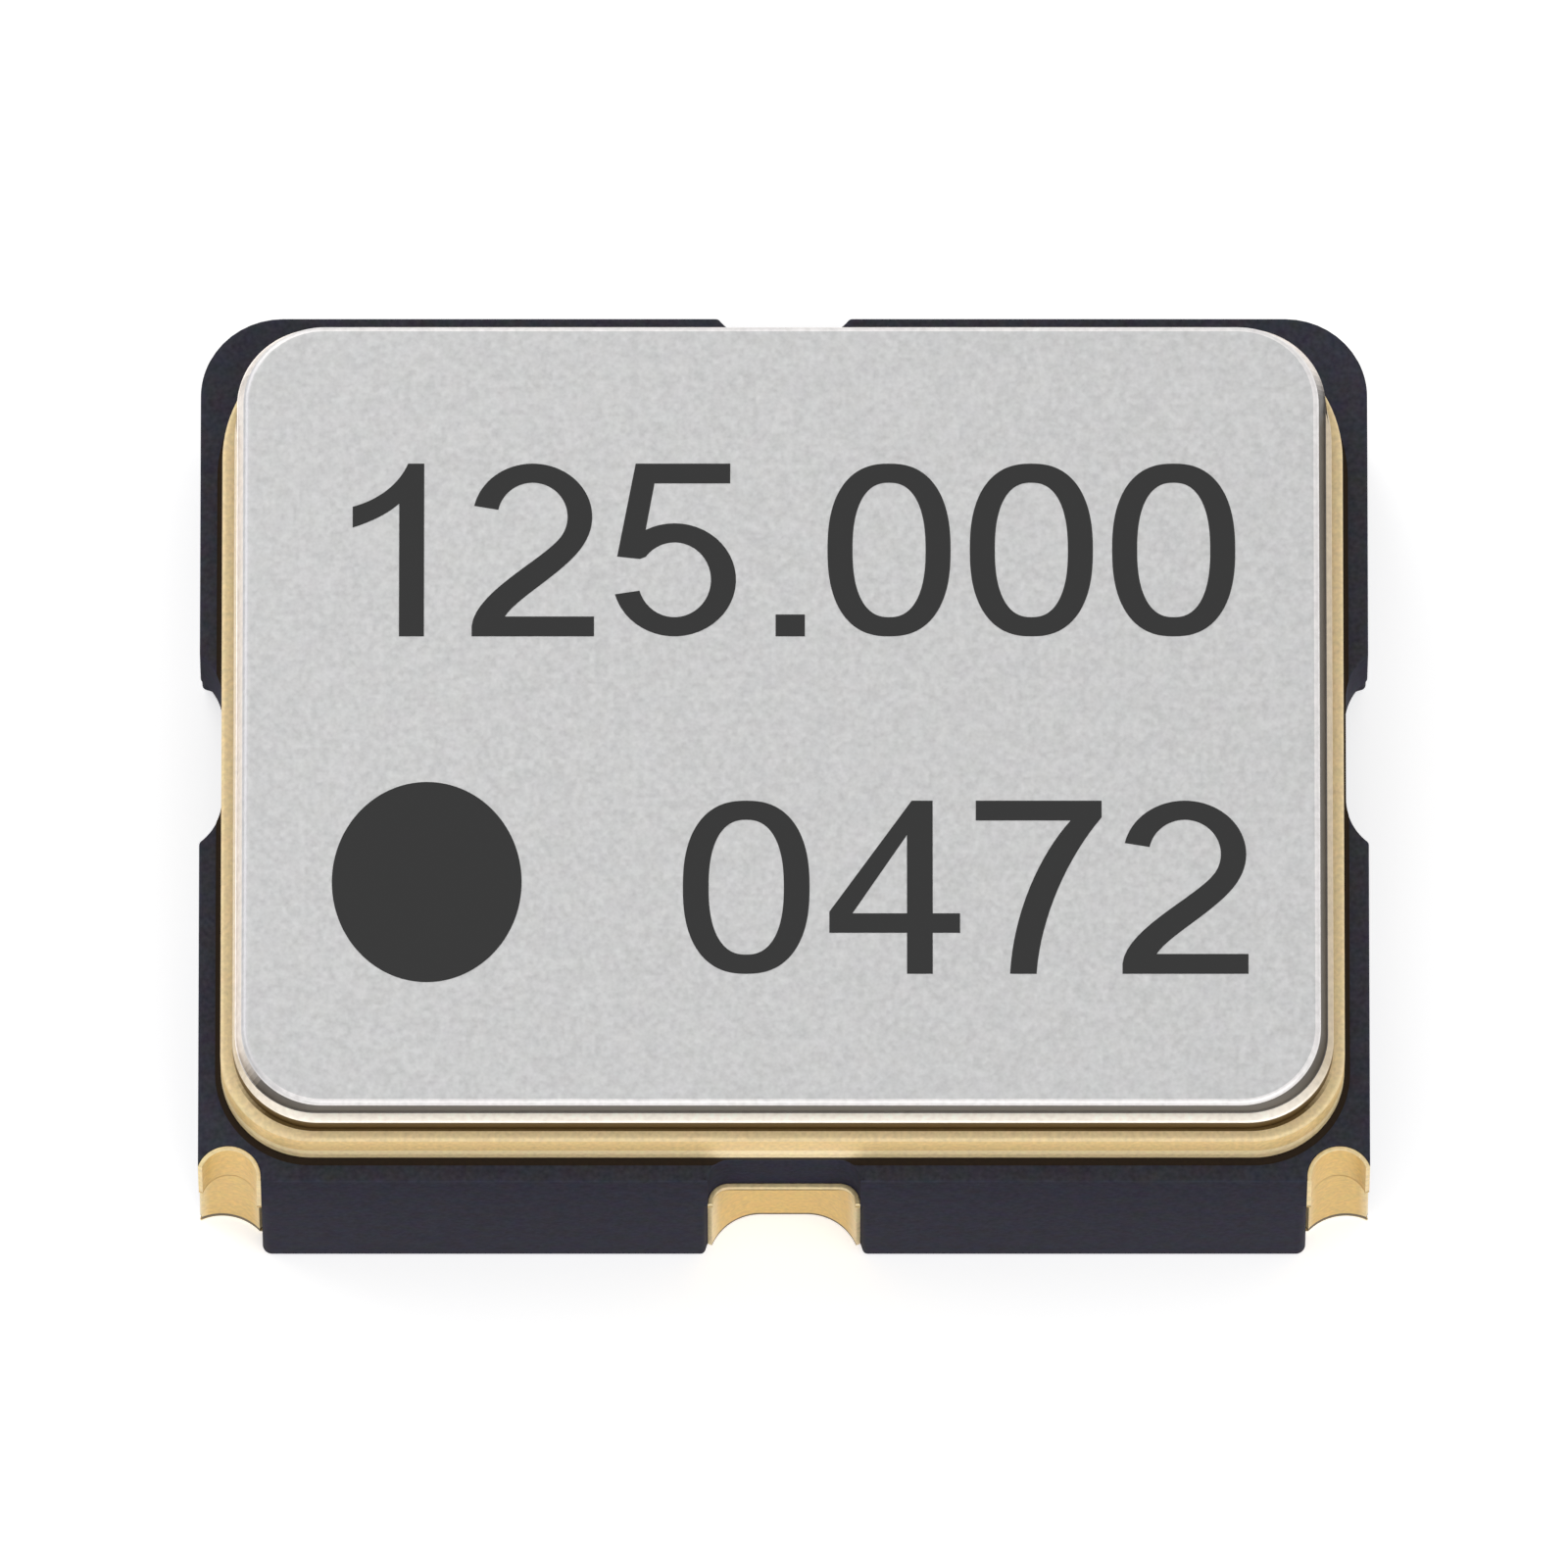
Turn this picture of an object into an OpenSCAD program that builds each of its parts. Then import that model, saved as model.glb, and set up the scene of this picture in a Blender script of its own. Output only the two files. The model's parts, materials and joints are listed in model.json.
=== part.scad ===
// Surface-mount crystal clock oscillator: a layered ceramic package with a seam-welded metal lid,
// holding an oscillator chip on the cavity floor and a quartz blank on the ledge above it.
// Millimetres. The origin is under the middle of the body, on the plane of the solder pads.
// +X runs along the long side and +Z points up. Terminal 1 is at the front left (-X, -Y), and the
// terminals count anticlockwise seen from above.

/* [Ceramic body] */
// Length of the body along X
body_l = 3.2; // [3.1:0.05:3.4]
// Width of the body along Y
body_w = 2.5; // [2.45:0.05:2.7]
// Height of the ceramic's top face above the solder plane
ceramic_top = 0.645; // [0.62:0.005:0.7]
// Height of the shelf that carries the crystal, where the top layer begins
shelf_z = 0.435; // [0.42:0.001:0.45]
// Height of the ledge that carries the bond fingers
ledge_z = 0.315; // [0.3:0.005:0.33]
// Height of the cavity floor that carries the chip
floor_z = 0.185; // [0.15:0.005:0.2]
// Radius of the body's two back corners
back_corner_r = 0.225; // [0.2:0.005:0.25]

/* [Corner notches] */
// Radius of the hole punched through the lower layers at each corner
corner_r = 0.154; // [0.148:0.001:0.165]
// How far in from the side face that hole is centred
corner_in = 0.059; // [0.055:0.001:0.065]
// How far outside the front or back face that hole is centred
corner_out = 0.027; // [0.02:0.001:0.03]
// Radius of the smaller hole through the top layer at the two front corners
dome_r = 0.0885; // [0.085:0.0005:0.09]
// How far in from the side face the smaller hole is centred
dome_in = 0.083; // [0.08:0.001:0.084]

/* [Side notches] */
// Width of the top layer's notch at the front
front_notch_w = 0.417; // [0.38:0.001:0.43]
// Radius of the inner corners of the top layer's notch at the front
front_notch_r = 0.058; // [0.03:0.001:0.06]
// Radius of the round ends of the slots punched through the sides
slot_r = 0.158; // [0.152:0.001:0.162]
// How far outside the face the centres of the lower layers' slots lie
slot_out = 0.03; // [0.02:0.001:0.032]
// Distance between the centres of a lower slot's round ends, at the front and back
long_slot_l = 0.125; // [0.12:0.005:0.15]
// The same distance at the left and right
short_slot_l = 0.355; // [0.3:0.005:0.37]
// How far behind the middle the lower layers' slots at the left and right lie
short_slot_y = 0.056; // [0:0.002:0.06]
// The same distance in the top layer's slot at the back
back_slot_l = 0.11; // [0.08:0.01:0.14]
// The same distance in the top layer's slots at the left and right
end_slot_l = 0.29; // [0.2:0.01:0.3]
// Rounding where a notch opens on the face
mouth_r = 0.015; // [0.01:0.005:0.03]

/* [Plating and solder pads] */
// Thickness of the plating on the notch walls
plate_t = 0.012; // [0.010:0.001:0.014]
// Height of the plating on the front notch's lower wall
side_plate_top = 0.267; // [0.2:0.001:0.3]
// How far in from the face the land under the front notch's shelf reaches
land_in = 0.104; // [0.09:0.002:0.11]
// Thickness of the land's lip round the edge of the shelf
lip_t = 0.014; // [0.012:0.001:0.02]
// How far that lip climbs the top layer's wall
lip_h = 0.012; // [0.006:0.001:0.03]
// Thickness of the solder pads
pad_t = 0.02; // [0.01:0.005:0.03]
// Length of a solder pad along X
pad_l = 0.41; // [0.35:0.01:0.5]
// Width of a solder pad along Y
pad_w = 0.826; // [0.7:0.002:0.9]
// Gap from the side face to a pad
pad_in_x = 0.10; // [0.08:0.005:0.12]
// Gap from the front or back face to a pad
pad_in_y = 0.07; // [0.06:0.005:0.08]
// Length along X of the index pad's longer arm
arm_l = 0.604; // [0.55:0.002:0.7]
// Width along Y of the index pad's longer arm
arm_w = 0.26; // [0.2:0.01:0.3]
// How far in from the front face the front pads' round collars are centred
collar_in = 0.0745; // [0.06:0.0005:0.08]

/* [Seal ring and lid] */
// Gap from the body's faces to the seal ring
ring_in = 0.062; // [0.055:0.001:0.068]
// Outer corner radius of the seal ring
ring_r = 0.25; // [0.22:0.005:0.28]
// Width of the seal ring's wall
ring_wall = 0.30; // [0.26:0.01:0.32]
// Height of the seal ring
ring_h = 0.145; // [0.13:0.005:0.18]
// Thickness of the braze under the seal ring
braze_t = 0.02; // [0.01:0.005:0.03]
// How far the braze's foot shows beyond the seal ring
braze_foot = 0.016; // [0.01:0.001:0.02]
// Gap from the seal ring's edge to the lid's flange, and again from the flange to the plateau
lid_step = 0.028; // [0.02:0.002:0.036]
// Thickness of the lid's flange
flange_t = 0.055; // [0.04:0.005:0.07]
// Height of the lid's plateau above its flange
plateau_t = 0.055; // [0.04:0.005:0.07]

/* [Crystal] */
// Length of the quartz blank
blank_l = 1.95; // [1.8:0.05:1.95]
// Width of the quartz blank
blank_w = 1.25; // [1.2:0.05:1.4]
// Thickness of the quartz blank
blank_t = 0.07; // [0.05:0.01:0.1]
// Length of the electrodes
electrode_l = 1.0; // [0.8:0.05:1.0]
// Width of the electrodes
electrode_w = 0.8; // [0.7:0.05:0.8]
// Thickness of the electrodes
electrode_t = 0.005; // [0.004:0.001:0.008]

/* [Chip] */
// Length of the chip
die_l = 0.90; // [0.8:0.05:0.95]
// Width of the chip
die_w = 0.70; // [0.65:0.05:0.75]
// Thickness of the chip
die_t = 0.10; // [0.08:0.01:0.1]
// Diameter of the bond wires
wire_d = 0.025; // [0.02:0.001:0.03]

/* [Hidden] */
ARC_STEPS = 14;    // flats along a notch wall, which its plating repeats exactly
BACK_STEPS = 6;    // how many of them the narrower plating of the back corners covers
MOUTH_STEPS = 4;   // flats along a notch's rounded mouth
BARE_FROM = 60;    // angle at which a bare slot's finer flats begin
ROUND = 64;        // fineness of round corners
OUTSIDE = 0.2;     // how far a cutting shape reaches past the face that it cuts
WIRE_SIDES = 8;
WIRE_STEPS = 9;    // rings along a bond wire's loop
GOLD = "#d9b36c";
SILVER = "#cfcfcf";

corner_c = [corner_in, -corner_out];
dome_c = [dome_in, 0.0135];
plate_x = dome_in + dome_r;                            // the corner plating ends level with the dome
corner_from = acos((plate_x - corner_in) / corner_r);  // where the corner plating begins and ends
corner_to = acos(-corner_in / corner_r);
back_to = corner_from + (corner_to - corner_from) * BACK_STEPS / ARC_STEPS;
dome_to = acos(-dome_in / dome_r);
slot_c = [long_slot_l / 2, -slot_out];
slot_from = acos((front_notch_w / 2 - slot_c.x) / slot_r);
upper_out = slot_r - ring_in;                          // the top layer's slots end under the ring's face

ring_z = ceramic_top + braze_t;
lid_z = ring_z + ring_h;
cavity_l = body_l - 2 * (ring_in + ring_wall);
cavity_w = body_w - 2 * (ring_in + ring_wall);
cavity_r = 0.15;

ledge_hole_x = [-0.80, 1.14];  // the opening between the crystal's shelf and the bond ledge
ledge_hole_w = 1.58;
floor_hole_x = [-0.42, 0.76];  // the opening around the chip
floor_hole_w = 1.0;
hole_r = 0.08;

die_x = 0.17;
attach_t = 0.02;
die_top = floor_z + attach_t + die_t;
die_pad_t = 0.005;
die_pad_s = 0.08;
die_pad_pitch = 0.30;
die_pad_y = die_w / 2 - 0.08;
finger_t = 0.01;
finger_l = 0.20;
finger_w = 0.18;
finger_pitch = 0.37;
finger_y = floor_hole_w / 2 + 0.145;
wire_r = wire_d / 2;
ball_r = 0.032;
ball_h = 0.018;
wire_rise = 0.10;  // height of a wire's loop above the chip's pad
wire_foot = 0.05;  // length of the wire's flat end on its finger

blank_x = -0.155;  // the blank's middle: it hangs from its left end
blank_end = blank_x - blank_l / 2;
mount_x = -1.0;
mount_y = 0.40;
mount_pad_t = 0.015;
glue_r = 0.10;
glue_t = 0.03;
tab_w = 0.22;
land_l = 0.20;     // length of the tab's landing under the blank's end
electrode_z = shelf_z + mount_pad_t + glue_t;
blank_z = electrode_z + electrode_t;

TERMINALS = [1:4];
FRONT_TERMINALS = [1, 2];
BACK_TERMINALS = [3, 4];
INDEX_TERMINAL = 3;
WIRES = [1:6];
LONG_SIDES = ["front", "back"];
SHORT_SIDES = ["right", "left"];
ENDS = ["front", "back"];

// Points along an arc, from the step `first`: 1 leaves out a point that the outline already has.
function arc(c, r, from, to, steps, first = 0) =
    [for (i = [first:steps]) let (a = from + (to - from) * i / steps) c + r * [cos(a), sin(a)]];

// The rounded mouth of a hole of radius r at c, from the face (y = 0) up to where it meets the
// hole: the rounding touches both the face and the hole.
function mouth_x(c, r) = c.x + sqrt(pow(r + mouth_r, 2) - pow(mouth_r - c.y, 2));
function mouth_angle(c, r) = atan2(mouth_r - c.y, mouth_x(c, r) - c.x);
function mouth(c, r) =
    arc([mouth_x(c, r), mouth_r], mouth_r, 270, 180 + mouth_angle(c, r), MOUTH_STEPS);

// One side of a punched hole's wall: its mouth, the bare wall, then the plated wall.
function half_wall(c, r, from, to) = concat(
    [[mouth_x(c, r), -OUTSIDE]],
    mouth(c, r),
    arc(c, r, mouth_angle(c, r), from, MOUTH_STEPS, 1),
    arc(c, r, from, to, ARC_STEPS, 1)
);

function is_front(i) = i <= 2;

function flip(points) = [for (i = [len(points) - 1:-1:0]) [-points[i].x, points[i].y]];

// A band of plating on a wall that follows an arc.
function band(c, r, from, to, steps = ARC_STEPS) =
    concat(arc(c, r, from, to, steps), arc(c, r - plate_t, to, from, steps));

// Puts what is drawn in a corner's own frame (x in from the side face, y in from the front or
// back face) at terminal i's corner.
module at_corner(i) {
    right = i == 2 || i == 3;
    mirror([right ? 1 : 0, 0, 0])
        mirror([0, is_front(i) ? 0 : 1, 0])
            translate([-body_l / 2, -body_w / 2, 0])
                children();
}

// Puts what is drawn in a side's own frame (x along the face, y in from it) at that side.
module at_side(s) {
    turn = s == "front" ? 0 : s == "right" ? 90 : s == "back" ? 180 : 270;
    reach = (s == "front" || s == "back") ? body_w / 2 : body_l / 2;
    rotate([0, 0, turn])
        translate([0, -reach, 0])
            children();
}

module slab(z0, z1) {
    translate([0, 0, z0])
        linear_extrude(z1 - z0)
            children();
}

module rounded(l, w, r) {
    square([l - 2 * r, w], center = true);
    square([l, w - 2 * r], center = true);
    for (x = [-1, 1], y = [-1, 1])
        translate([x * (l / 2 - r), y * (w / 2 - r)])
            circle(r, $fn = ROUND);
}

// ---- ceramic ----

module corner_punch() {
    polygon(concat(
        half_wall(corner_c, corner_r, corner_from, corner_to),
        [[-OUTSIDE, corner_c.y + corner_r * sin(corner_to)], [-OUTSIDE, -OUTSIDE]]
    ));
}

module dome_punch() {
    polygon(concat(
        [[plate_x, -OUTSIDE]],
        arc(dome_c, dome_r, 0, dome_to, ARC_STEPS),
        [[-OUTSIDE, dome_c.y + dome_r * sin(dome_to)], [-OUTSIDE, -OUTSIDE]]
    ));
}

// A slot with round ends l apart, centred a distance out from the face.
module slot_punch(l, out, from = BARE_FROM) {
    half = half_wall([l / 2, -out], slot_r, from, 90);
    polygon(concat(half, flip(half)));
}

// The top layer's notch at the front, or the same notch lined with a skin of thickness t.
module front_punch(t = 0) {
    r = front_notch_r - t;
    half = concat(
        [[front_notch_w / 2 - t, -OUTSIDE]],
        arc([front_notch_w / 2 - t - r, ring_in - t - r], r, 0, 90, ARC_STEPS)
    );
    polygon(concat(half, flip(half)));
}

module lower_slots() {
    for (s = LONG_SIDES)
        at_side(s)
            slot_punch(long_slot_l, slot_out, slot_from);
    for (s = SHORT_SIDES)
        translate([0, short_slot_y, 0])
            at_side(s)
                slot_punch(short_slot_l, slot_out);
}

module upper_notches() {
    at_side("front")
        front_punch();
    at_side("back")
        slot_punch(back_slot_l, upper_out);
    for (s = SHORT_SIDES)
        at_side(s)
            slot_punch(end_slot_l, upper_out);
}

module back_corner_cut() {
    difference() {
        translate([-OUTSIDE, -OUTSIDE])
            square(OUTSIDE + back_corner_r);
        translate([back_corner_r, back_corner_r])
            circle(back_corner_r, $fn = ROUND);
    }
}

module body_outline() {
    difference() {
        square([body_l, body_w], center = true);
        for (i = BACK_TERMINALS)
            at_corner(i)
                back_corner_cut();
    }
}

module lower_layers() {
    slab(pad_t, shelf_z)
        difference() {
            body_outline();
            for (i = TERMINALS)
                at_corner(i)
                    corner_punch();
            lower_slots();
        }
}

module top_layer() {
    slab(shelf_z, ceramic_top)
        difference() {
            body_outline();
            for (i = FRONT_TERMINALS)
                at_corner(i)
                    dome_punch();
            upper_notches();
        }
}

module opening(z, x, w) {
    translate([(x[0] + x[1]) / 2, 0, 0])
        slab(z, shelf_z + OUTSIDE)
            rounded(x[1] - x[0], w, hole_r);
}

module ceramic_base() {
    color("#3a3a44")
        difference() {
            union() {
                lower_layers();
                top_layer();
            }
            slab(shelf_z, ceramic_top + OUTSIDE)
                rounded(cavity_l, cavity_w, cavity_r);
            opening(ledge_z, ledge_hole_x, ledge_hole_w);
            opening(floor_z, floor_hole_x, floor_hole_w);
        }
}

// ---- terminals: a solder pad, and the plating that climbs its corner notch ----

// The gold that runs from a front pad round its notch to the side face.
module collar() {
    intersection() {
        translate([dome_in, collar_in])
            circle(dome_r, $fn = ROUND);
        translate([0, pad_in_y])
            square(pad_w);
    }
}

module pad_outline(i) {
    edge = arc(corner_c, corner_r - plate_t, corner_from, corner_to, ARC_STEPS);
    difference() {
        union() {
            translate([pad_in_x, pad_in_y]) {
                square([pad_l, pad_w]);
                if (i == INDEX_TERMINAL)
                    square([arm_l, arm_w]);
            }
            if (is_front(i))
                collar();
        }
        polygon(concat(
            [[edge[0].x, -OUTSIDE]],
            edge,
            [[-OUTSIDE, edge[ARC_STEPS].y], [-OUTSIDE, -OUTSIDE]]
        ));
    }
}

module dome_band() {
    polygon(concat(
        [[plate_x, 0]],
        band(dome_c, dome_r, 0, dome_to),
        [[plate_x - plate_t, 0]]
    ));
}

// The plating under the top layer joins the lower wall's plating to the dome's.
module shelf_plating() {
    difference() {
        intersection() {
            corner_punch();
            square([plate_x, pad_w]);
        }
        polygon(concat(
            [[plate_x - plate_t, -OUTSIDE]],
            arc(dome_c, dome_r - plate_t, 0, dome_to, ARC_STEPS),
            [dome_c + 2 * dome_r * [cos(dome_to), sin(dome_to)], [-OUTSIDE, -OUTSIDE]]
        ));
    }
}

module terminal(i) {
    color(GOLD)
        at_corner(i) {
            slab(0, pad_t)
                pad_outline(i);
            if (is_front(i)) {
                slab(0, shelf_z)
                    polygon(band(corner_c, corner_r, corner_from, corner_to));
                slab(shelf_z - plate_t, shelf_z)
                    shelf_plating();
                slab(shelf_z - plate_t, ceramic_top)
                    dome_band();
            } else {
                slab(0, shelf_z)
                    polygon(band(corner_c, corner_r, corner_from, back_to, BACK_STEPS));
            }
        }
}

// The plating of the front notch: a band round the lower wall.
module side_castellation_front() {
    wall = arc(slot_c, slot_r, slot_from, 90, ARC_STEPS);
    face = arc(slot_c, slot_r - plate_t, 90, slot_from, ARC_STEPS);
    color(GOLD)
        at_side("front")
            slab(pad_t, side_plate_top)
                polygon(concat(wall, flip(wall), flip(face), face));
}

// The land on the underside of the front notch's shelf, with the lip that turns up round its edge.
module notch_land_front() {
    color(GOLD)
        at_side("front") {
            slab(shelf_z - plate_t, shelf_z)
                difference() {
                    intersection() {
                        slot_punch(long_slot_l, slot_out, slot_from);
                        translate([-front_notch_w / 2, 0])
                            square([front_notch_w, land_in]);
                    }
                    front_punch(lip_t);
                }
            slab(shelf_z - plate_t, shelf_z + lip_h)
                intersection() {
                    difference() {
                        front_punch();
                        front_punch(lip_t);
                    }
                    translate([-front_notch_w / 2, 0])
                        square([front_notch_w, land_in]);
                }
        }
}

// ---- seal ring and lid ----

module ring_outline(gap, r) {
    difference() {
        rounded(body_l - 2 * gap, body_w - 2 * gap, r);
        rounded(cavity_l, cavity_w, cavity_r);
    }
}

// The braze has a foot beyond the ring, which stops where the notches are cut.
module seal_braze() {
    color("#4a3a26")
        slab(ceramic_top, ring_z)
            difference() {
                ring_outline(ring_in - braze_foot, ring_r + braze_foot);
                upper_notches();
            }
}

module seal_ring() {
    color(GOLD)
        slab(ring_z, lid_z)
            ring_outline(ring_in, ring_r);
}

module lid() {
    flange = ring_in + lid_step;
    plateau = flange + lid_step;
    color(SILVER) {
        slab(lid_z, lid_z + flange_t)
            rounded(body_l - 2 * flange, body_w - 2 * flange, ring_r - lid_step / 2);
        slab(lid_z + flange_t, lid_z + flange_t + plateau_t)
            rounded(body_l - 2 * plateau, body_w - 2 * plateau, ring_r - lid_step);
    }
}

// ---- chip, its pads, fingers and bond wires ----

// Pads 1 to 3 lie along the chip's front edge and 4 to 6 along its back edge.
function column(i) = (i - 1) % 3 - 1;
function row(i) = i <= 3 ? -1 : 1;
function die_pad_at(i) = [die_x + column(i) * die_pad_pitch, row(i) * die_pad_y, die_top];
function finger_at(i) = [die_x + column(i) * finger_pitch, row(i) * finger_y, ledge_z];

module die_attach() {
    color("#c8c8c8")
        translate([die_x, 0, 0])
            slab(floor_z, floor_z + attach_t)
                rounded(die_l + 0.06, die_w + 0.06, 0.08);
}

module ic_die() {
    color("#4a5560")
        translate([die_x, 0, 0])
            slab(floor_z + attach_t, die_top)
                square([die_l, die_w], center = true);
}

module die_pad(i) {
    color("#dfdfe2")
        translate(die_pad_at(i))
            linear_extrude(die_pad_t)
                square(die_pad_s, center = true);
}

module bond_finger(i) {
    color(GOLD)
        translate(finger_at(i))
            linear_extrude(finger_t)
                square([finger_w, finger_l], center = true);
}

// Cubic curve through p[0] and p[3], steered by p[1] and p[2].
function curve(p, t) =
    pow(1 - t, 3) * p[0] + 3 * pow(1 - t, 2) * t * p[1] + 3 * (1 - t) * t * t * p[2] + pow(t, 3) * p[3];

// A bond wire is worked out in its own upright plane: x is the run towards the finger and y the
// height above the chip's pad. It starts as a flattened ball, loops over, and lies flat at its end.
module bond_wire(i) {
    start = die_pad_at(i) + [0, 0, die_pad_t];
    end = finger_at(i) + [0, 0, finger_t];
    run = norm([end.x - start.x, end.y - start.y]);
    along = [(end.x - start.x) / run, (end.y - start.y) / run];
    across = [-along.y, along.x];
    foot_z = end.z - start.z + wire_r * cos(180 / WIRE_SIDES);
    loop = [
        [0, ball_h + 0.006],
        [0, ball_h + wire_rise],
        [0.35 * run, wire_rise + 0.02],
        [run - wire_foot, foot_z]
    ];
    path = concat(
        [[0, 0], [0, ball_h * 0.3], [0, ball_h * 0.8], [0, ball_h]],
        [for (k = [0:WIRE_STEPS]) curve(loop, k / WIRE_STEPS)],
        [[run, foot_z]]
    );
    radii = concat([0.8 * ball_r, ball_r, 0.9 * ball_r, 0.5 * ball_r], [for (k = [0:WIRE_STEPS + 1]) wire_r]);
    last = len(path) - 1;
    // The direction of the path at each ring; the foot is level, so its ring stands upright.
    function heading(k) =
        k < 4 ? [0, 1] : k == last ? [1, 0] : (path[k + 1] - path[k - 1]) / norm(path[k + 1] - path[k - 1]);
    function ring(k) =
        [for (a = [0:WIRE_SIDES - 1])
            let (
                angle = (a + 0.5) * 360 / WIRE_SIDES,
                side = radii[k] * cos(angle),
                lift = radii[k] * sin(angle),
                at = path[k] + lift * [-heading(k).y, heading(k).x]
            )
            start + [along.x * at.x + across.x * side, along.y * at.x + across.y * side, at.y]];
    skin = [for (k = [0:last - 1], a = [0:WIRE_SIDES - 1])
        let (
            p = k * WIRE_SIDES + a,
            q = k * WIRE_SIDES + (a + 1) % WIRE_SIDES
        )
        each [[p, p + WIRE_SIDES, q], [q, p + WIRE_SIDES, q + WIRE_SIDES]]];
    caps = [
        [for (a = [0:WIRE_SIDES - 1]) a],
        [for (a = [WIRE_SIDES - 1:-1:0]) last * WIRE_SIDES + a]
    ];
    color(GOLD)
        polyhedron([for (k = [0:last]) each ring(k)], concat(skin, caps), convexity = 4);
}

// ---- crystal, hung from two glue dots at its left end ----

function end_y(e) = e == "front" ? -mount_y : mount_y;

module crystal_pad(e) {
    color(GOLD)
        translate([mount_x, end_y(e), 0])
            slab(shelf_z, shelf_z + mount_pad_t)
                rounded(0.30, 0.34, 0.04);
}

module adhesive(e) {
    color("#b9b9b4")
        translate([mount_x, end_y(e), shelf_z + mount_pad_t])
            cylinder(h = glue_t, r = glue_r, $fn = ROUND);
}

module crystal_blank() {
    color("#dfe6e4", 0.6)
        translate([blank_x, 0, 0])
            slab(blank_z, blank_z + blank_t)
                square([blank_l, blank_w], center = true);
}

// An electrode's round-cornered plate, with a tab out to the blank's left end.
module electrode_outline(e) {
    translate([blank_x, 0])
        rounded(electrode_l, electrode_w, 0.12);
    translate([blank_end, end_y(e) - tab_w / 2])
        square([blank_x - electrode_l / 2 + 0.15 - blank_end, tab_w]);
}

module electrode_bottom() {
    color(SILVER)
        slab(electrode_z, blank_z)
            electrode_outline("front");
}

// The top electrode's tab folds over the blank's end and lands on the back glue dot.
module electrode_top() {
    top = blank_z + blank_t;
    color(SILVER) {
        slab(top, top + electrode_t)
            electrode_outline("back");
        translate([0, end_y("back") - tab_w / 2, 0]) {
            slab(electrode_z, top + electrode_t)
                translate([blank_end - electrode_t, 0])
                    square([electrode_t, tab_w]);
            slab(electrode_z, blank_z)
                translate([blank_end - electrode_t, 0])
                    square([land_l + electrode_t, tab_w]);
        }
    }
}

// ---- assembly ----

ceramic_base();
for (i = TERMINALS) terminal(i);
side_castellation_front();
notch_land_front();
seal_braze();
seal_ring();
lid();
die_attach();
ic_die();
for (i = WIRES) die_pad(i);
for (i = WIRES) bond_finger(i);
for (i = WIRES) bond_wire(i);
for (e = ENDS) crystal_pad(e);
for (e = ENDS) adhesive(e);
electrode_bottom();
crystal_blank();
electrode_top();
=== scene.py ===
import json
import math

import bmesh
import bpy
import numpy as np
from bpy.props import FloatProperty, FloatVectorProperty, PointerProperty, StringProperty
from bpy.types import Operator, Panel, PropertyGroup
from mathutils.geometry import tessellate_polygon
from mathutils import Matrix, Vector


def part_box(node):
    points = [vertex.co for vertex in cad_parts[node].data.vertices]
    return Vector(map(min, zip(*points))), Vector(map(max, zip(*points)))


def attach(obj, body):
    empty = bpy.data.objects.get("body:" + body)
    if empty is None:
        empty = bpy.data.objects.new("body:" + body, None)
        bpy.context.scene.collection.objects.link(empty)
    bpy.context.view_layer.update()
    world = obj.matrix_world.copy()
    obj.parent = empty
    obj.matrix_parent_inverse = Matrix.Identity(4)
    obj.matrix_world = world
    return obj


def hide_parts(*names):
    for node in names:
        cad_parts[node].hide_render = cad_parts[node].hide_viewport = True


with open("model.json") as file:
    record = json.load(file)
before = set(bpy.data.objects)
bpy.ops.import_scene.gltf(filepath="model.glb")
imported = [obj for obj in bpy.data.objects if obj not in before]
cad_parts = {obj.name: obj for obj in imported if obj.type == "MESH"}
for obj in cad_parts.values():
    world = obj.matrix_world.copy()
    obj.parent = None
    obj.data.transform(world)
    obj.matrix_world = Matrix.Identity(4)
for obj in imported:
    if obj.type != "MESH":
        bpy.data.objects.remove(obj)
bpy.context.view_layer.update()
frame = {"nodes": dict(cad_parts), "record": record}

bl_info = {
    "name": "Crystal oscillator",
    "version": (1, 0, 0),
    "blender": (4, 5, 0),
    "location": "View3D > Sidebar > Oscillator",
    "description": "Builds the visible skin of a surface-mount crystal oscillator and a studio",
    "category": "Add Mesh",
}

MM = 0.001
WELD = 1e-8            # corners closer than this are one corner
SHARP = 32             # degrees between two faces above which their edge stays sharp
ARC_STEPS = 32         # flats along a notch wall
ROUND_STEPS = 16       # flats along the front notch's inner corners and the body's back corners
MOUTH_STEPS = 8        # flats along a notch's rounded mouth, and over a back corner's hole
EDGE_STEPS = 4         # flats along a rounded edge
LID_STEPS = 6          # flats along each rounded edge of the lid
CORNER_STEPS = 24      # flats along a ring's or lid's corner
SIDE_STEPS = 240       # pieces of each side of the braze, which gives way to the notches
LEVEL = 1.6            # a level strip beside a rounded edge ends this many radii from the wall
THIN = 3.4             # a wall thinner than this many radii gets a smaller rounding
STRAIGHT = 0.999       # a place whose inward step has at least this cosine is on a straight side

CERAMIC_LOW, CERAMIC_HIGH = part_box("ceramic_base")
RING_LOW, RING_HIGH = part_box("seal_ring")
LID_LOW, LID_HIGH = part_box("lid")
BODY = (CERAMIC_HIGH.x - CERAMIC_LOW.x, CERAMIC_HIGH.y - CERAMIC_LOW.y)
RING_GAP = BODY[0] / 2 - RING_HIGH.x       # from the body's faces to the ring's
LID_GAP = BODY[0] / 2 - LID_HIGH.x         # and to the lid's edges

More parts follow.
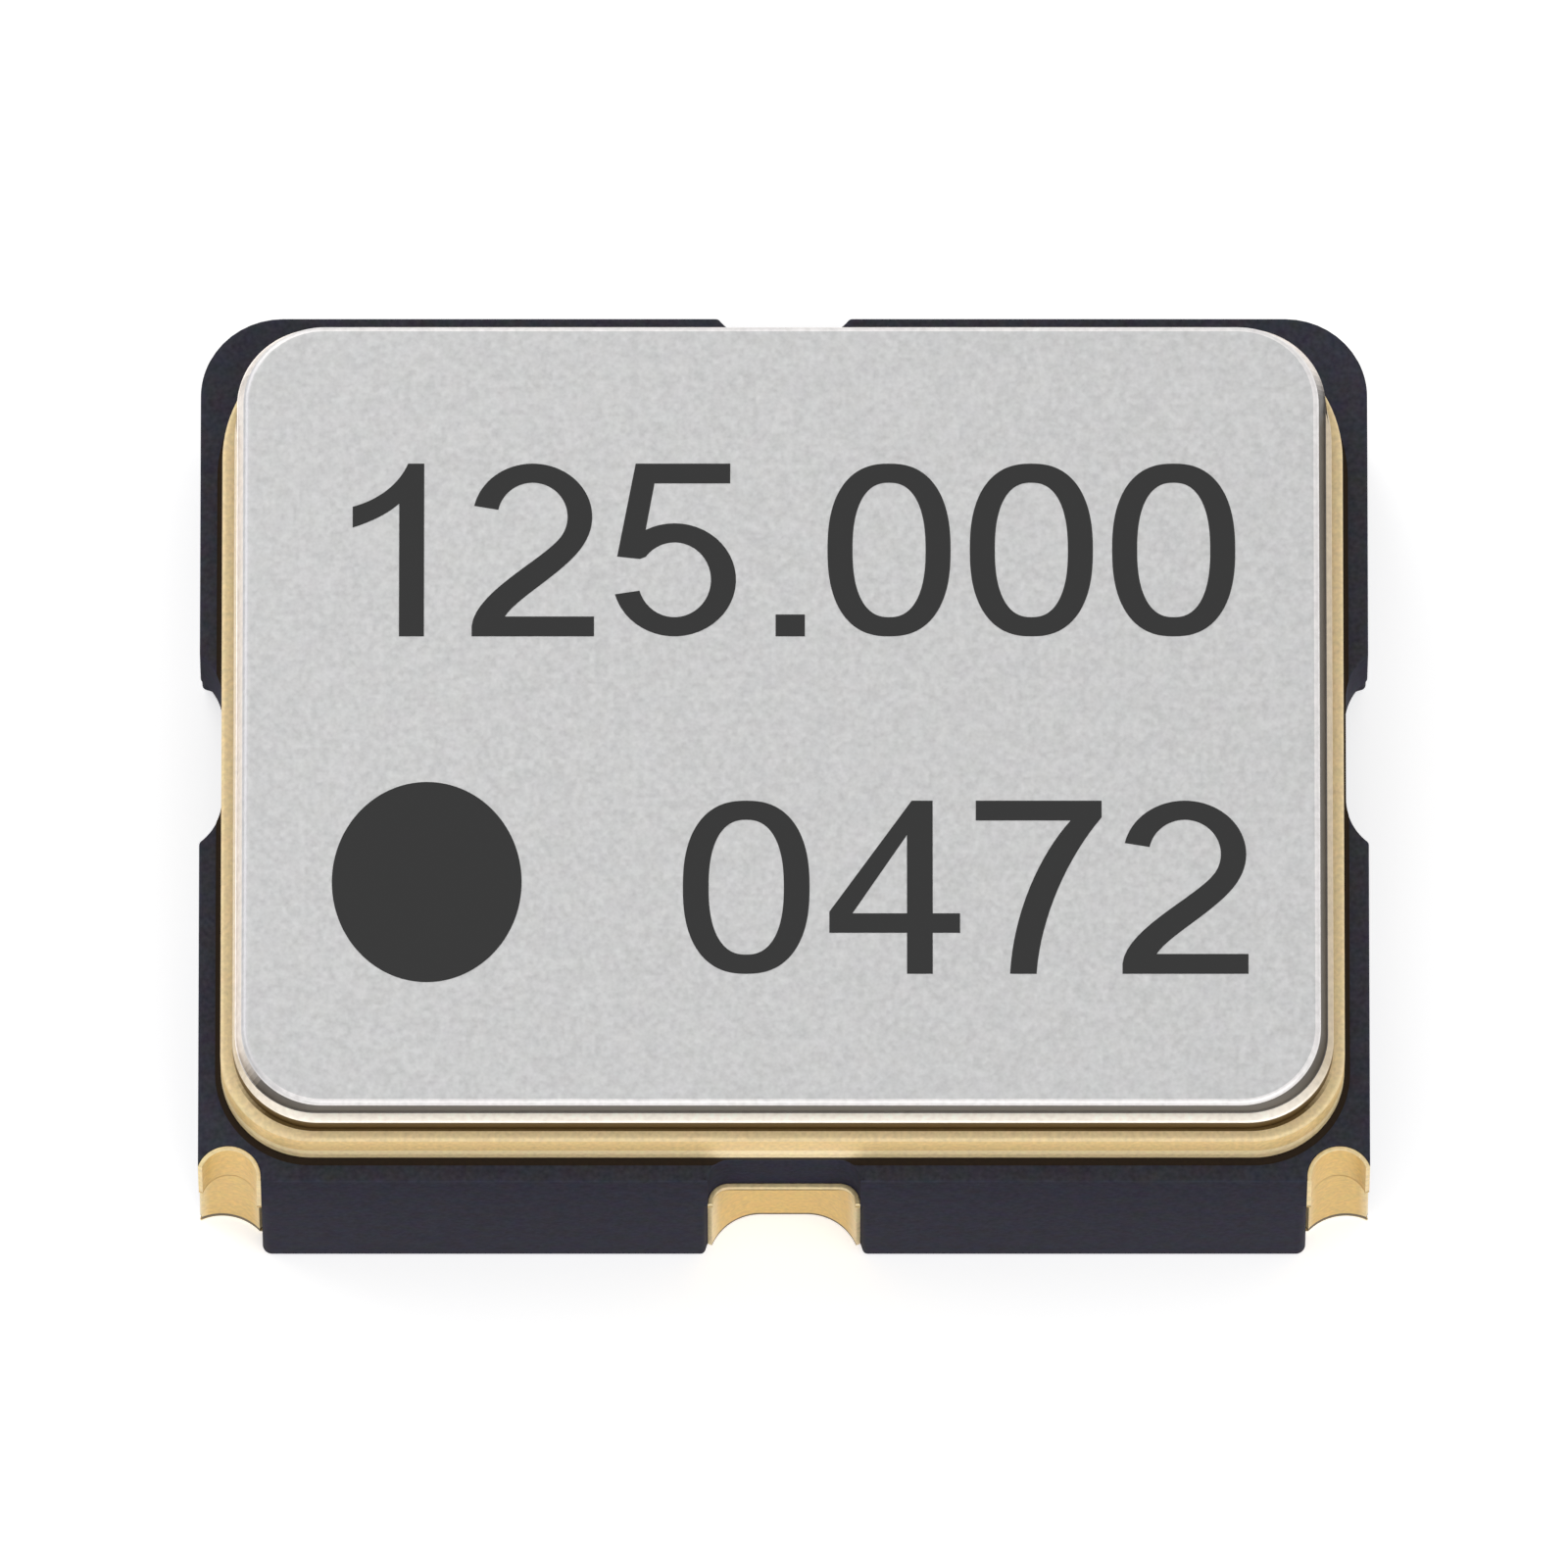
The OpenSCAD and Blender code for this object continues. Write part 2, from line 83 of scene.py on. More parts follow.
SIGNS = {1: (-1, -1), 2: (1, -1), 3: (1, 1), 4: (-1, 1)}       # which corner each terminal is at
FRONT_TERMINALS = (1, 2)
INDEX_TERMINAL = 3
FRONT, RIGHT, BACK, LEFT = range(4)                            # the body's sides, in turn
INWARD = np.array([(0, 1), (-1, 0), (0, -1), (1, 0)])          # each side's step into the body

# A face's tone is a place among its finish's colours, at most TONES of them. Between two places it
# mixes them. These are the places for the ceramic, the plating, the ring and the lid.
TONES = 8
# Of the ceramic's places, the third is painted shade under the top layer over the notches, and the
# fourth is the underside painted lighter for the light from below.
CERAMIC, CUT_WALL, SHADED_OVERHANG, LIGHTENED_UNDERSIDE = range(4)
# Of the plating's places, the second is a painted highlight on edges and ends, the third a dark line
# of painted shade, and the fourth a duller copy of the gold painted for the pads' undersides, which
# the lamps below light.
GOLD, HIGHLIT_GOLD, SHADE_LINE, UNDERLIT_GOLD = range(4)
# Of the ring's places, the second and third are gold painted brighter to offset the shade low on the
# wall, the fourth is painted paler to offset the shade beside the lid, and the fifth is painted shade.
RING, LIT_LOW_WALL, LIT_RING_FOOT, LIT_RING_TOP, JOINT_SHADE = range(5)
# Of the lid's places, the second and third are the flange's top painted as a reflection, the fourth
# its edge painted as shade, the fifth and sixth the plateau's wall painted as shade and as light, and
# the last two its rounding painted as a highlight.
LID, FRONT_SHEEN, SIDE_SHEEN, FLANGE_EDGE_SHADE, SHADED_PLATEAU_WALL, LIT_PLATEAU_WALL, BEVEL_HIGHLIGHT, LEFT_BEVEL_HIGHLIGHT = range(8)


# ---- settings ----

def size(name, description, millimetres):
    return FloatProperty(name=name, description=description, default=millimetres * MM, min=0.0,
                         unit="LENGTH", subtype="DISTANCE", precision=6)


def lengths(name, description, *millimetres):
    """Several lengths in one setting. Four gaps are those at the front, right, back and left."""
    return FloatVectorProperty(name=name, description=description, size=len(millimetres),
                               unit="LENGTH", precision=6,
                               default=tuple(value * MM for value in millimetres))


def tint(name, description, red, green, blue):
    """A colour given as it looks on a display, from 0 to 255, and stored as linear light by the
    display standard's curve."""
    shown = np.array([red, green, blue]) / 255
    linear = np.where(shown <= 0.04045, shown / 12.92, ((shown + 0.055) / 1.055) ** 2.4)
    return FloatVectorProperty(name=name, description=description, default=tuple(linear), min=0.0,
                               max=1.0, size=3, subtype="COLOR")


def amount(name, description, value, highest=1.0):
    return FloatProperty(name=name, description=description, default=value, min=0.0, max=highest)


class CeramicSettings(PropertyGroup):
    shelf: size("Shelf height", "Height where the top layer begins", 0.435)
    ledge: size("Ledge height", "Height of the ledge with the bond fingers", 0.315)
    floor: size("Floor height", "Height of the cavity floor", 0.185)
    ledge_opening: lengths("Ledge opening", "Length and width of the hole over the ledge", 1.94, 1.58)
    well: lengths("Chip well", "Length and width of the well that holds the chip", 1.18, 1.0)
    well_corner: size("Well corner", "Corner radius of that hole and the well", 0.08)
    well_x: size("Well offset", "How far right of the middle both lie", 0.17)
    edge: size("Edge rounding", "Rounding of the fired edges", 0.006)
    back_corner: size("Back corner radius", "Radius of the two back corners", 0.225)
    punch: size("Corner punch radius", "Radius of the hole punched at each corner", 0.154)
    punch_in: size("Corner punch inset", "How far in from the side face it is centred", 0.059)
    punch_out: size("Corner punch outset", "How far outside the front or back face", 0.027)
    dome: size("Dome radius", "Radius of the front corners' hole in the top layer", 0.0885)
    dome_in: size("Dome inset", "How far in from the side face the dome is centred", 0.083)
    dome_up: size("Dome offset", "How far in from the front face the dome is centred", 0.0135)
    front_width: size("Front notch width", "Width of the top layer's front notch", 0.417)
    front_round: size("Front notch rounding", "Radius of that notch's inner corners", 0.058)
    slot: size("Slot radius", "Radius of the slots' round ends", 0.158)
    slot_out: size("Slot outset", "How far outside the face the lower slots are centred", 0.03)
    long_slot: size("Long side slot", "Centre distance of the lower slots at front and back", 0.125)
    short_slot: size("Short side slot", "Centre distance of the lower slots at left and right", 0.355)
    short_back: size("Short side slot offset", "How far behind the middle those slots lie", 0.056)
    back_slot: size("Back notch", "Centre distance of the top layer's back notch", 0.11)
    end_slot: size("End notches", "Centre distance of the top layer's left and right notches", 0.29)
    mouth: size("Mouth rounding", "Rounding where a notch opens on the face", 0.015)
    corner_mouth: size("Corner mouth rounding", "Rounding where a corner notch opens", 0.026)
    body: tint("Body", "Fired black alumina", 58, 59, 69)
    wall: tint("Wall", "The layers' cut walls", 47, 46, 57)
    # painted shade: the faces under the top layer over the notches are darker than the body
    deep: tint("Notch wall", "The faces that look down over the notches", 40, 37, 38)
    # painted light: the underside is lighter and bluer than the body, standing in for the light from
    # below
    base: tint("Underside", "The underside, painted lighter for the light from below", 95, 96, 115)


class PlatingSettings(PropertyGroup):
    thickness: size("Plating thickness", "Thickness of the plating on the walls", 0.012)
    pad_length: size("Pad length", "Length of a solder pad along the long side", 0.41)
    pad_width: size("Pad width", "Width of a solder pad", 0.826)
    pad_x: size("Pad side gap", "Gap from the side face to a pad", 0.10)
    pad_y: size("Pad end gap", "Gap from the front or back face to a pad", 0.07)
    arm_length: size("Index arm length", "Length of the index pad's arm", 0.604)
    arm_width: size("Index arm width", "Width of the index pad's arm", 0.26)
    collar_in: size("Collar inset", "How far in from the front face the collars are centred", 0.0745)
    back_share: amount("Back plating", "Share of a back corner's notch wall that is plated", 6 / 14)
    band_top: size("Front band top", "Height of the plating on the front notch's lower wall", 0.267)
    band_ends: size("Front band ends", "Height of that plating at its two ends", 0.42)
    rise_from: size("Front band rise", "How far from the middle that plating begins to climb", 0.11)
    land_in: size("Land depth", "How far in the land under the front notch's shelf reaches", 0.104)
    lip: size("Lip thickness", "Thickness of the land's lip", 0.014)
    lip_height: size("Lip height", "How far the lip climbs the top layer's wall", 0.012)
    edge: size("Edge rounding", "Rounding of the plating's edges", 0.003)
    pad_edge: size("Pad edge rounding", "Rounding of the solder pads' edges", 0.012)
    gold: tint("Gold", "Satin gold plating", 226, 190, 115)
    # painted highlight: the plating's rounded edges, top edges and ends are given this lighter gold
    rim: tint("Edge highlight", "Edges painted bright as a highlight", 236, 214, 165)
    # painted shade: a dark line at the foot of the plated walls and on the pads' walls, where the gold
    # meets the ceramic
    shade: tint("Shade line", "A dark line painted as shade where the gold meets the ceramic", 92, 78, 56)
    # painted light: a less saturated copy of the gold for the pads' undersides and their level strips,
    # set for the lamps below
    pad: tint("Pad", "The solder pads' gold", 209, 191, 143)
    shaded: size("Shade line height", "Height of the bare strip low on the plated walls", 0.012)
    highlit: size("Highlight width", "How far from a plated wall's end its gold is worn", 0.03)


class RingSettings(PropertyGroup):
    wall: size("Ring wall", "Width of the seal ring's wall", 0.30)
    inset: lengths("Ring inset", "How much further in the ring's faces lie", 0.0, 0.008, 0.02, 0.0)
    corner: size("Ring corner", "Outer corner radius of the seal ring", 0.25)
    back_corner: size("Ring back corner", "Outer corner radius of the ring at the back", 0.383)
    cavity_corner: size("Cavity corner", "Corner radius of the cavity", 0.15)
    edge: size("Ring edge rounding", "Rounding of the ring's upper edge", 0.008)
    foot: size("Braze foot", "How far the braze shows beyond the ring", 0.016)
    joint: size("Joint width", "Width of the painted shade in front of the lid", 0.007)
    gold: tint("Ring", "Gold-plated ring", 236, 203, 140)
    # painted light: brighter gold low on the ring's wall and just above the braze, offsetting the
    # shade there
    low: tint("Ring's lower wall", "The brighter gold low on the ring", 255, 232, 184)
    lit_foot: tint("Ring's foot", "The gold just above the braze", 238, 214, 164)
    # painted light: the ring's rounded edge and rim are paler, offsetting the shade beside the lid
    top: tint("Ring top", "The ring's rim beside the lid", 238, 214, 166)
    # painted shade: dark brown on the ring's rim beside the lid, only where it faces the front
    brown: tint("Joint", "Painted shade on the ring's rim in front of the lid", 104, 82, 44)
    # painted shade: the real braze fillet is tinted dark to stand for the shade along the ring's foot
    braze: tint("Braze", "Braze fillet, painted dark as the shade at the ring's foot", 44, 34, 24)


class LidSettings(PropertyGroup):
    step: size("Lid step", "Width of the flange round the plateau", 0.028)
    flange: size("Flange thickness", "Thickness of the welded flange", 0.055)
    flange_edge: size("Flange rounding", "Rounding of the flange's upper edge", 0.005)
    fillet: size("Fillet", "Radius of the hollow where the plateau rises from the flange", 0.004)
    rim: lengths("Flange inset", "How much further in its edges lie", 0.006, 0.0109, 0.019, 0.005)
    back_corner: size("Flange back corner", "Corner radius of the flange at the back", 0.322)
    plateau_corner: size("Plateau back corner", "Corner radius of the plateau at the back", 0.2225)
    bevel: size("Plateau rounding", "Width of the rounding of the plateau's upper edge", 0.015)
    bevel_drop: size("Plateau rounding's height", "Height of that rounding", 0.012)
    foot: lengths("Plateau foot", "Gaps from the body's faces to its foot", 0.126, 0.120, 0.112, 0.106)
    wall_top: lengths("Plateau wall top", "Gaps to the wall's top", 0.1295, 0.136, 0.120, 0.120)
    metal: tint("Lid", "Fine-grained nickel", 193, 193, 193)
    # painted reflection: the flange's top is bright cream at the front and a duller warm tint at the
    # sides
    weld: tint("Weld", "The flange at the front, painted bright as a reflection", 255, 246, 232)
    side: tint("Side weld", "The flange at the sides", 203, 188, 164)
    # painted shade: the flange's outer wall is dark brown
    cut: tint("Flange edge shade", "The flange's outer edge, painted dark as shade", 96, 74, 34)
    # painted shade: the plateau's wall is dark
    wall: tint("Plateau wall", "The plateau's wall, painted dark as shade", 92, 88, 84)
    # painted light: the same wall is lighter at the left and back
    light: tint("Light wall", "The plateau's wall at the left and back", 229, 221, 214)
    # painted highlight: the plateau's rounded edge is lighter than the lid, and dimmer at the left
    bevel_highlight: tint("Bevel", "The plateau's rounded edge", 222, 219, 218)
    left_bevel_highlight: tint("Left bevel", "The same edge at the left", 188, 187, 189)


class MarkSettings(PropertyGroup):
    first: StringProperty(name="First row", description="Plain numbers on the lid", default="125.000")
    second: StringProperty(name="Second row", description="Plain numbers on the lid", default="0472")
    first_box: lengths("First row's box", "Left, front, right, back", -1.18, 0.230, 1.234, 0.730)
    second_box: lengths("Second row's box", "Left, front, right, back", -0.276, -0.745, 1.267, -0.246)
    dot: lengths("Dot centre", "Middle of the terminal 1 dot", -0.975, -0.4805)
    dot_size: lengths("Dot size", "Width and depth of the dot", 0.518, 0.577)
    thickness: size("Mark thickness", "How far the marks stand above the lid", 0.0015)
    ink: tint("Mark", "Laser-blackened metal", 52, 52, 52)


class InsideSettings(PropertyGroup):
    silicon: tint("Silicon", "Polished chip", 90, 98, 112)
    glue: tint("Conductive glue", "Silver-filled adhesive", 200, 200, 196)
    bond_metal: tint("Bond pads", "Bare aluminium", 222, 222, 226)
    wire: tint("Bond wires", "Drawn gold wire", 232, 200, 120)
    quartz: tint("Quartz", "Lapped quartz", 226, 236, 236)
    electrode: tint("Electrodes", "Evaporated silver", 214, 214, 218)


class FinishSettings(PropertyGroup):
    grain: size("Grain", "Size of the finest grain in every finish", 0.0135)
    lid_grain: amount("Lid grain", "Contrast of the lid's grain", 0.35)
    lid_coarse: amount("Lid grain size", "How much coarser the lid's grain is", 1.25, 10.0)
    gold_grain: amount("Gold grain", "Contrast of the gold's grain", 0.45)
    ceramic_grain: amount("Ceramic grain", "Contrast of the ceramic's grain", 0.8, 2.0)


class StageSettings(PropertyGroup):
    azimuth: FloatProperty(name="Azimuth", description="Camera's turn from the front",
                           default=0.0, subtype="ANGLE")
    elevation: FloatProperty(name="Elevation", description="Camera's height above the horizon",
                             default=math.radians(70.9), subtype="ANGLE")
    lens: FloatProperty(name="Lens", description="Focal length", default=1200.0, min=50.0,
                        unit="CAMERA")
    width: size("View width", "Width of what the camera sees", 4.3)
    aim: size("Aim", "Height of the point that the camera looks at", 0.35)
    world: amount("World", "Brightness of the surroundings for matt surfaces", 0.55)
    key: amount("Key light", "Strength of the light from the back left", 0.3, 10.0)
    fill: amount("Fill light", "Strength of the light from the front right", 0.3, 10.0)
    under: amount("Under light", "Strength of the lights below the floor", 0.8, 10.0)
    floor_lift: amount("Floor lift", "What the floor adds for the camera and in reflections", 0.5)
    floor: tint("Floor", "Plain pale floor", 245, 245, 245)


class OscillatorSettings(PropertyGroup):
    ceramic: PointerProperty(type=CeramicSettings)
    plating: PointerProperty(type=PlatingSettings)
    ring: PointerProperty(type=RingSettings)
    lid: PointerProperty(type=LidSettings)
    marks: PointerProperty(type=MarkSettings)
    inside: PointerProperty(type=InsideSettings)
    finish: PointerProperty(type=FinishSettings)
    stage: PointerProperty(type=StageSettings)


# ---- curves in the plane ----

def arc(centre, radius, start, end, steps=ARC_STEPS):
    """Points at equal angles on a circle: the centre plus the radius times (cos a, sin a)."""
    a = np.radians(np.linspace(start, end, steps + 1))
    return np.asarray(centre) + radius * np.stack([np.cos(a), np.sin(a)], 1)


def angle_at(radius, distance):
    """Angle whose cosine is the distance over the radius, in degrees."""
    return math.degrees(math.acos(distance / radius))


def quarter(steps=EDGE_STEPS):
    """A quarter turn in equal angles: one less the cosine and one less the sine of each."""
    a = np.linspace(0, np.pi / 2, steps + 1)
    return list(zip(1 - np.cos(a), 1 - np.sin(a)))


def eased(x):
    """From nought to one with a level start and end: three squares less two cubes."""
    x = np.clip(x, 0, 1)
    return x ** 2 * (3 - 2 * x)


def both_halves(points):
    """A curve that ends at x = 0, carried on by its mirror image, walked the other way."""
    return np.concatenate([points, points[::-1] * (-1, 1)])


def counterclockwise(loop):
    """The loop, turned round if the sum of the cross products of its corners is negative."""
    ahead = np.roll(loop, -1, 0)
    area = (loop[:, 0] * ahead[:, 1] - loop[:, 1] * ahead[:, 0]).sum()
    return loop if area > 0 else loop[::-1]


def inward(loop):
    """For each corner of a counterclockwise loop, the step that moves both its edges in by one: the
    sum of the edges' unit normals over one plus their dot product."""
    ahead = np.roll(loop, -1, 0) - loop
    ahead /= np.linalg.norm(ahead, axis=1, keepdims=True)
    normal = np.stack([-ahead[:, 1], ahead[:, 0]], 1)
    before = np.roll(normal, 1, 0)
    return (normal + before) / (1 + (normal * before).sum(1, keepdims=True))


def rounded(length, width, radius, middle=(0, 0), pieces=1):
    """A rectangle with round corners, counterclockwise from the front left corner's end: four
    quarter circles, each at half the size less its radius, joined by straight sides of some pieces.
    Two radii are those of the front and the back corners."""
    half, (front, back) = np.array((length, width)) / 2, np.broadcast_to(radius, 2)
    corners = [arc(np.add(middle, (half - r) * sign), r, a, a + 90, CORNER_STEPS)
               for sign, r, a in zip(SIGNS.values(), (front, front, back, back), (180, 270, 0, 90))]
    along = np.linspace(0, 1, pieces + 1)[1:-1, None]
    sides = [here[-1] + along * (ahead[0] - here[-1])
             for here, ahead in zip(corners, corners[1:] + corners[:1])]
    return np.concatenate([run for pair in zip(corners, sides) for run in pair])


def level(points, z):
    """The points lifted to a height."""
    return np.column_stack([points, np.full(len(points), z)])


def framed(away, radius, z, pieces=1):
    """A round-cornered rectangle at a height, in from the body's faces by one gap or by four."""
    front, right, back, left = np.broadcast_to(away, 4)
    middle = ((left - right) / 2, (front - back) / 2)
    return level(rounded(BODY[0] - left - right, BODY[1] - front - back, radius, middle, pieces), z)


def at_side(points, side):
    """From a side's own frame (x along the face, y in from it) to the body's: back to the face, then
    turned by quarter turns."""
    reach = BODY[1] / 2 if side in (FRONT, BACK) else BODY[0] / 2
    x, y = points[:, 0], points[:, 1] - reach
    return np.stack([(x, y), (-y, x), (-x, -y), (y, -x)][side], 1)


def at_corner(points, i):
    """From a corner's own frame (x in from the side face, y in from the front or back face) to the
    body's: half the body less the point, signed for the corner."""
    return np.array(SIGNS[i]) * (np.array(BODY) / 2 - points)


# ---- surfaces ----

def quads(r, c, up, on, width):
    """Faces of a grid of corners numbered row by row, between the rows r and up and the columns c
    and on."""
    corners = [r * width + c, r * width + on, up * width + on, up * width + c]
    return np.stack(corners, -1).reshape(-1, 4).tolist()


def tones_over(tones, shape):
    """Tones given by row, or by row and column, over all the faces of a grid."""
    rows = tones if np.ndim(tones) == 2 else np.reshape(tones, (-1, 1))
    return np.broadcast_to(rows, shape).ravel()


def skin(rows, tones=0, closed=False):
    """Faces of a grid whose rows are closed loops: each corner with its neighbours along the row and
    in the next row. Returns the corners, the faces and each face's tone."""
    count, around = rows.shape[:2]
    r, c = np.indices((count if closed else count - 1, around))
    faces = quads(r, c, (r + 1) % count, (c + 1) % around, around)
    return rows.reshape(-1, 3), faces, tones_over(tones, r.shape)


def strip(rows, tones, end_tone):
    """The same for a band whose rows run along it and go once round its cross-section, with a face
    across each end."""
    count, along = rows.shape[:2]
    r, c = np.indices((count, along - 1))
    first = np.arange(count) * along
    ends = [first.tolist(), (first[::-1] + along - 1).tolist()]
    faces = quads(r, c, (r + 1) % count, c + 1, along) + ends
    return rows.reshape(-1, 3), faces, np.append(tones_over(tones, r.shape), [end_tone] * 2)


def flat(loops, up, tone=0):
    """A level face bounded by an outer loop and holes, as triangles turned to face up or down."""
    corners = np.concatenate(loops)
    faces = np.array(tessellate_polygon([(loop / MM).tolist() for loop in loops]))
    a, b, c = (corners[faces[:, k], :2] for k in range(3))
    lift = (b[:, 0] - a[:, 0]) * (c[:, 1] - a[:, 1]) - (b[:, 1] - a[:, 1]) * (c[:, 0] - a[:, 0])
    faces = np.where(((lift > 0) == up)[:, None], faces, faces[:, ::-1])
    return corners, faces.tolist(), np.full(len(faces), tone)


def swept(loop, profile):
    """A profile of (inset, height) pairs carried along a closed loop: row k is the loop moved in by
    inset k and lifted to height k. An inset may also differ from corner to corner."""
    step = inward(loop)
    return np.array([level(loop + np.reshape(inset, (-1, 1)) * step, z) for inset, z in profile])


def rounded_edge(z0, z1, below=0.0, above=0.0, tones=(0, 0, 0, 0)):
    """The profile of a wall with rounded edges, as (inset, height) pairs, and the tone of each strip:
    quarter circles of the two radii, with a narrow level strip beside each of them. The tones are
    those of the lower edge, the wall, the upper edge and the level strips."""
    lower_edge, wall, upper_edge, beside = tones
    profile, strips = [(0.0, z0)], [wall]
    if below:
        profile = [(LEVEL * below, z0)]
        profile += [(below * short, z0 + below * far) for far, short in quarter()]
        strips = [beside] + [lower_edge] * EDGE_STEPS + [wall]
    if above:
        profile += [(above * far, z1 - above * short) for far, short in quarter()]
        profile += [(LEVEL * above, z1)]
        strips += [upper_edge] * EDGE_STEPS + [beside]
    else:
        profile += [(0.0, z1)]
    return profile, strips


def round_over(away, corner, z, width, height, steps=EDGE_STEPS):
    """Rows of a rounded upper edge that ends at a height, as gaps, corner radii and heights: further
    in by one less the cosine, and short of the end by one less the sine."""
    return [(away + width * far, corner - width * far, z - height * short)
            for far, short in quarter(steps)]


def banded(around, *bands):
    """Tones of a grid of faces from (number of rows, tone) pairs. A tone may differ along its row."""
    return np.concatenate([np.broadcast_to(tone, (count, around)) for count, tone in bands])


def between(start, end, share):
    """A share of the way from one value to another."""
    return start + (end - start) * share


def facing(step, side, start, end):
    """How far each place of an outline is turned to a side, by the cosine of the place's inward step
    with the side's: nothing up to the first value and one from the second, in proportion between."""
    return np.clip((step @ INWARD[side] - start) / (end - start), 0, 1)


def piece(name, parts, material, replaces=()):
    """Joins the parts of a piece into one mesh, makes corners at the same place one corner, smooths
    it except at sharp edges, and seats it on the frame."""
    start = np.cumsum([0] + [len(corners) for corners, _, _ in parts])
    faces = [[corner + s for corner in face] for part, s in zip(parts, start) for face in part[1]]
    tones = np.concatenate([part[2] for part in parts]) / TONES
    mesh = bpy.data.meshes.new(name)
    mesh.from_pydata(np.concatenate([part[0] for part in parts]).tolist(), [], faces)
    mesh.attributes.new("tone", "FLOAT", "FACE").data.foreach_set("value", tones.astype(np.float32))
    welded = bmesh.new()
    welded.from_mesh(mesh)
    bmesh.ops.remove_doubles(welded, verts=welded.verts, dist=WELD)
    welded.to_mesh(mesh)
    welded.free()
    mesh.validate()
    mesh.shade_smooth()
    mesh.set_sharp_from_angle(angle=math.radians(SHARP))
    mesh.materials.append(material)
    made = bpy.data.objects.new(name, mesh)
    bpy.context.scene.collection.objects.link(made)
    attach(made, "root")
    if replaces:
        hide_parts(*replaces)
    return made


# ---- finishes ----

class Graph:
    """Makes a material's or world's nodes: a value that is a socket is linked, any other is set."""

    def __init__(self, owner):
        owner.use_nodes = True
        self.tree = owner.node_tree
        self.tree.nodes.clear()

    def add(self, kind, inputs=None, **options):
        node = self.tree.nodes.new("ShaderNode" + kind)
        for key, value in options.items():
            setattr(node, key, value)
        for key, value in (inputs or {}).items():
            if isinstance(value, bpy.types.NodeSocket):
                self.tree.links.new(value, node.inputs[key])
            else:
                node.inputs[key].default_value = value
        return node

    def most(self, one, other):
        """The greater of two values."""
        return self.add("Math", {0: one, 1: other}, operation="MAXIMUM").outputs[0]


MOTTLE_FINENESS = 0.28     # the mottling's frequency, as a share of the grain's
GRAIN_HEIGHT = 0.08        # how far the grain stands up, as a share of its size


def finish(s, name, colours, contrast, metallic=0.0, roughness=0.4, spread=0.08, mottle=0.03,
           relief=0.4, alpha=1.0, gloss=0.5, coarse=1.0):
    """A grained finish. The colour is that of the face's tone, mixed from the two nearest ones where
    it lies between them, times one plus the contrast of a fine noise, plus a faint mottling of its
    hue; the same noise roughens and raises the surface."""
    material = bpy.data.materials.new(name)
    g, grain = Graph(material), s.finish.grain * coarse
    place = g.add("TexCoord").outputs["Object"]
    fine = g.add("TexNoise", {"Vector": place, "Scale": 1 / grain, "Detail": 1.0}).outputs["Fac"]
    broad = g.add("TexNoise", {"Vector": place, "Scale": MOTTLE_FINENESS / grain, "Detail": 3.0})
    tone = g.add("Attribute", attribute_name="tone")
    colour = g.add("ValToRGB", {"Fac": tone.outputs["Fac"]})
    ramp = colour.color_ramp
    while len(ramp.elements) < len(colours):
        ramp.elements.new(1.0)
    for k in reversed(range(len(ramp.elements))):
        ramp.elements[k].position = k / TONES
        ramp.elements[k].color = (*colours[min(k, len(colours) - 1)], 1.0)
    middle = 1 - mottle / 2
    shade = g.add("MapRange", {"Value": fine, "To Min": middle - contrast / 2,
                               "To Max": middle + contrast / 2})
    hue = g.add("VectorMath", {0: broad.outputs["Color"], 1: (mottle,) * 3,
                               2: shade.outputs["Result"]}, operation="MULTIPLY_ADD")
    painted = g.add("VectorMath", {0: colour.outputs["Color"], 1: hue.outputs["Vector"]},
                    operation="MULTIPLY")
    rough = g.add("MapRange", {"Value": fine, "To Min": roughness - spread,
                               "To Max": roughness + spread})
    raised = g.add("Bump", {"Height": fine, "Strength": relief, "Distance": GRAIN_HEIGHT * grain})
    shader = g.add("BsdfPrincipled", {
        "Base Color": painted.outputs["Vector"], "Metallic": metallic, "Alpha": alpha,
        "Roughness": rough.outputs["Result"], "Normal": raised.outputs["Normal"],
        "Specular IOR Level": gloss})
    g.add("OutputMaterial", {"Surface": shader.outputs["BSDF"]})
    return material


def ceramic_finish(s):
    c = s.ceramic
    return finish(s, "black_alumina", [c.body, c.wall, c.deep, c.base], s.finish.ceramic_grain,
                  roughness=0.7, mottle=0.5, gloss=0.02)


def gold_finish(s):
    """Satin gold, made once for all the plated pieces."""
    p = s.plating
    return bpy.data.materials.get("satin_gold") or finish(
        s, "satin_gold", [p.gold, p.rim, p.shade, p.pad], s.finish.gold_grain, metallic=0.3,
        roughness=0.5, mottle=0.12, gloss=0.3)


def ring_finish(s):
    r = s.ring
    return finish(s, "ring_gold", [r.gold, r.low, r.lit_foot, r.top, r.brown], s.finish.gold_grain,
                  metallic=0.25, roughness=0.5, mottle=0.1, gloss=0.3)


def braze_shade_finish(s):
    return finish(s, "braze_painted_shade", [s.ring.braze], contrast=0.5, roughness=0.8, mottle=0.1,
                  gloss=0.1)


def lid_finish(s):
    d = s.lid
    colours = [d.metal, d.weld, d.side, d.cut, d.wall, d.light, d.bevel_highlight, d.left_bevel_highlight]
    return finish(s, "lid_nickel", colours, s.finish.lid_grain, metallic=0.8, roughness=0.4,
                  mottle=0.03, coarse=s.finish.lid_coarse)


def mark_finish(s):
    return finish(s, "mark", [s.marks.ink], contrast=0.12, roughness=0.7, mottle=0.02,
                  relief=0.1, gloss=0.2)


# ---- the ceramic body ----

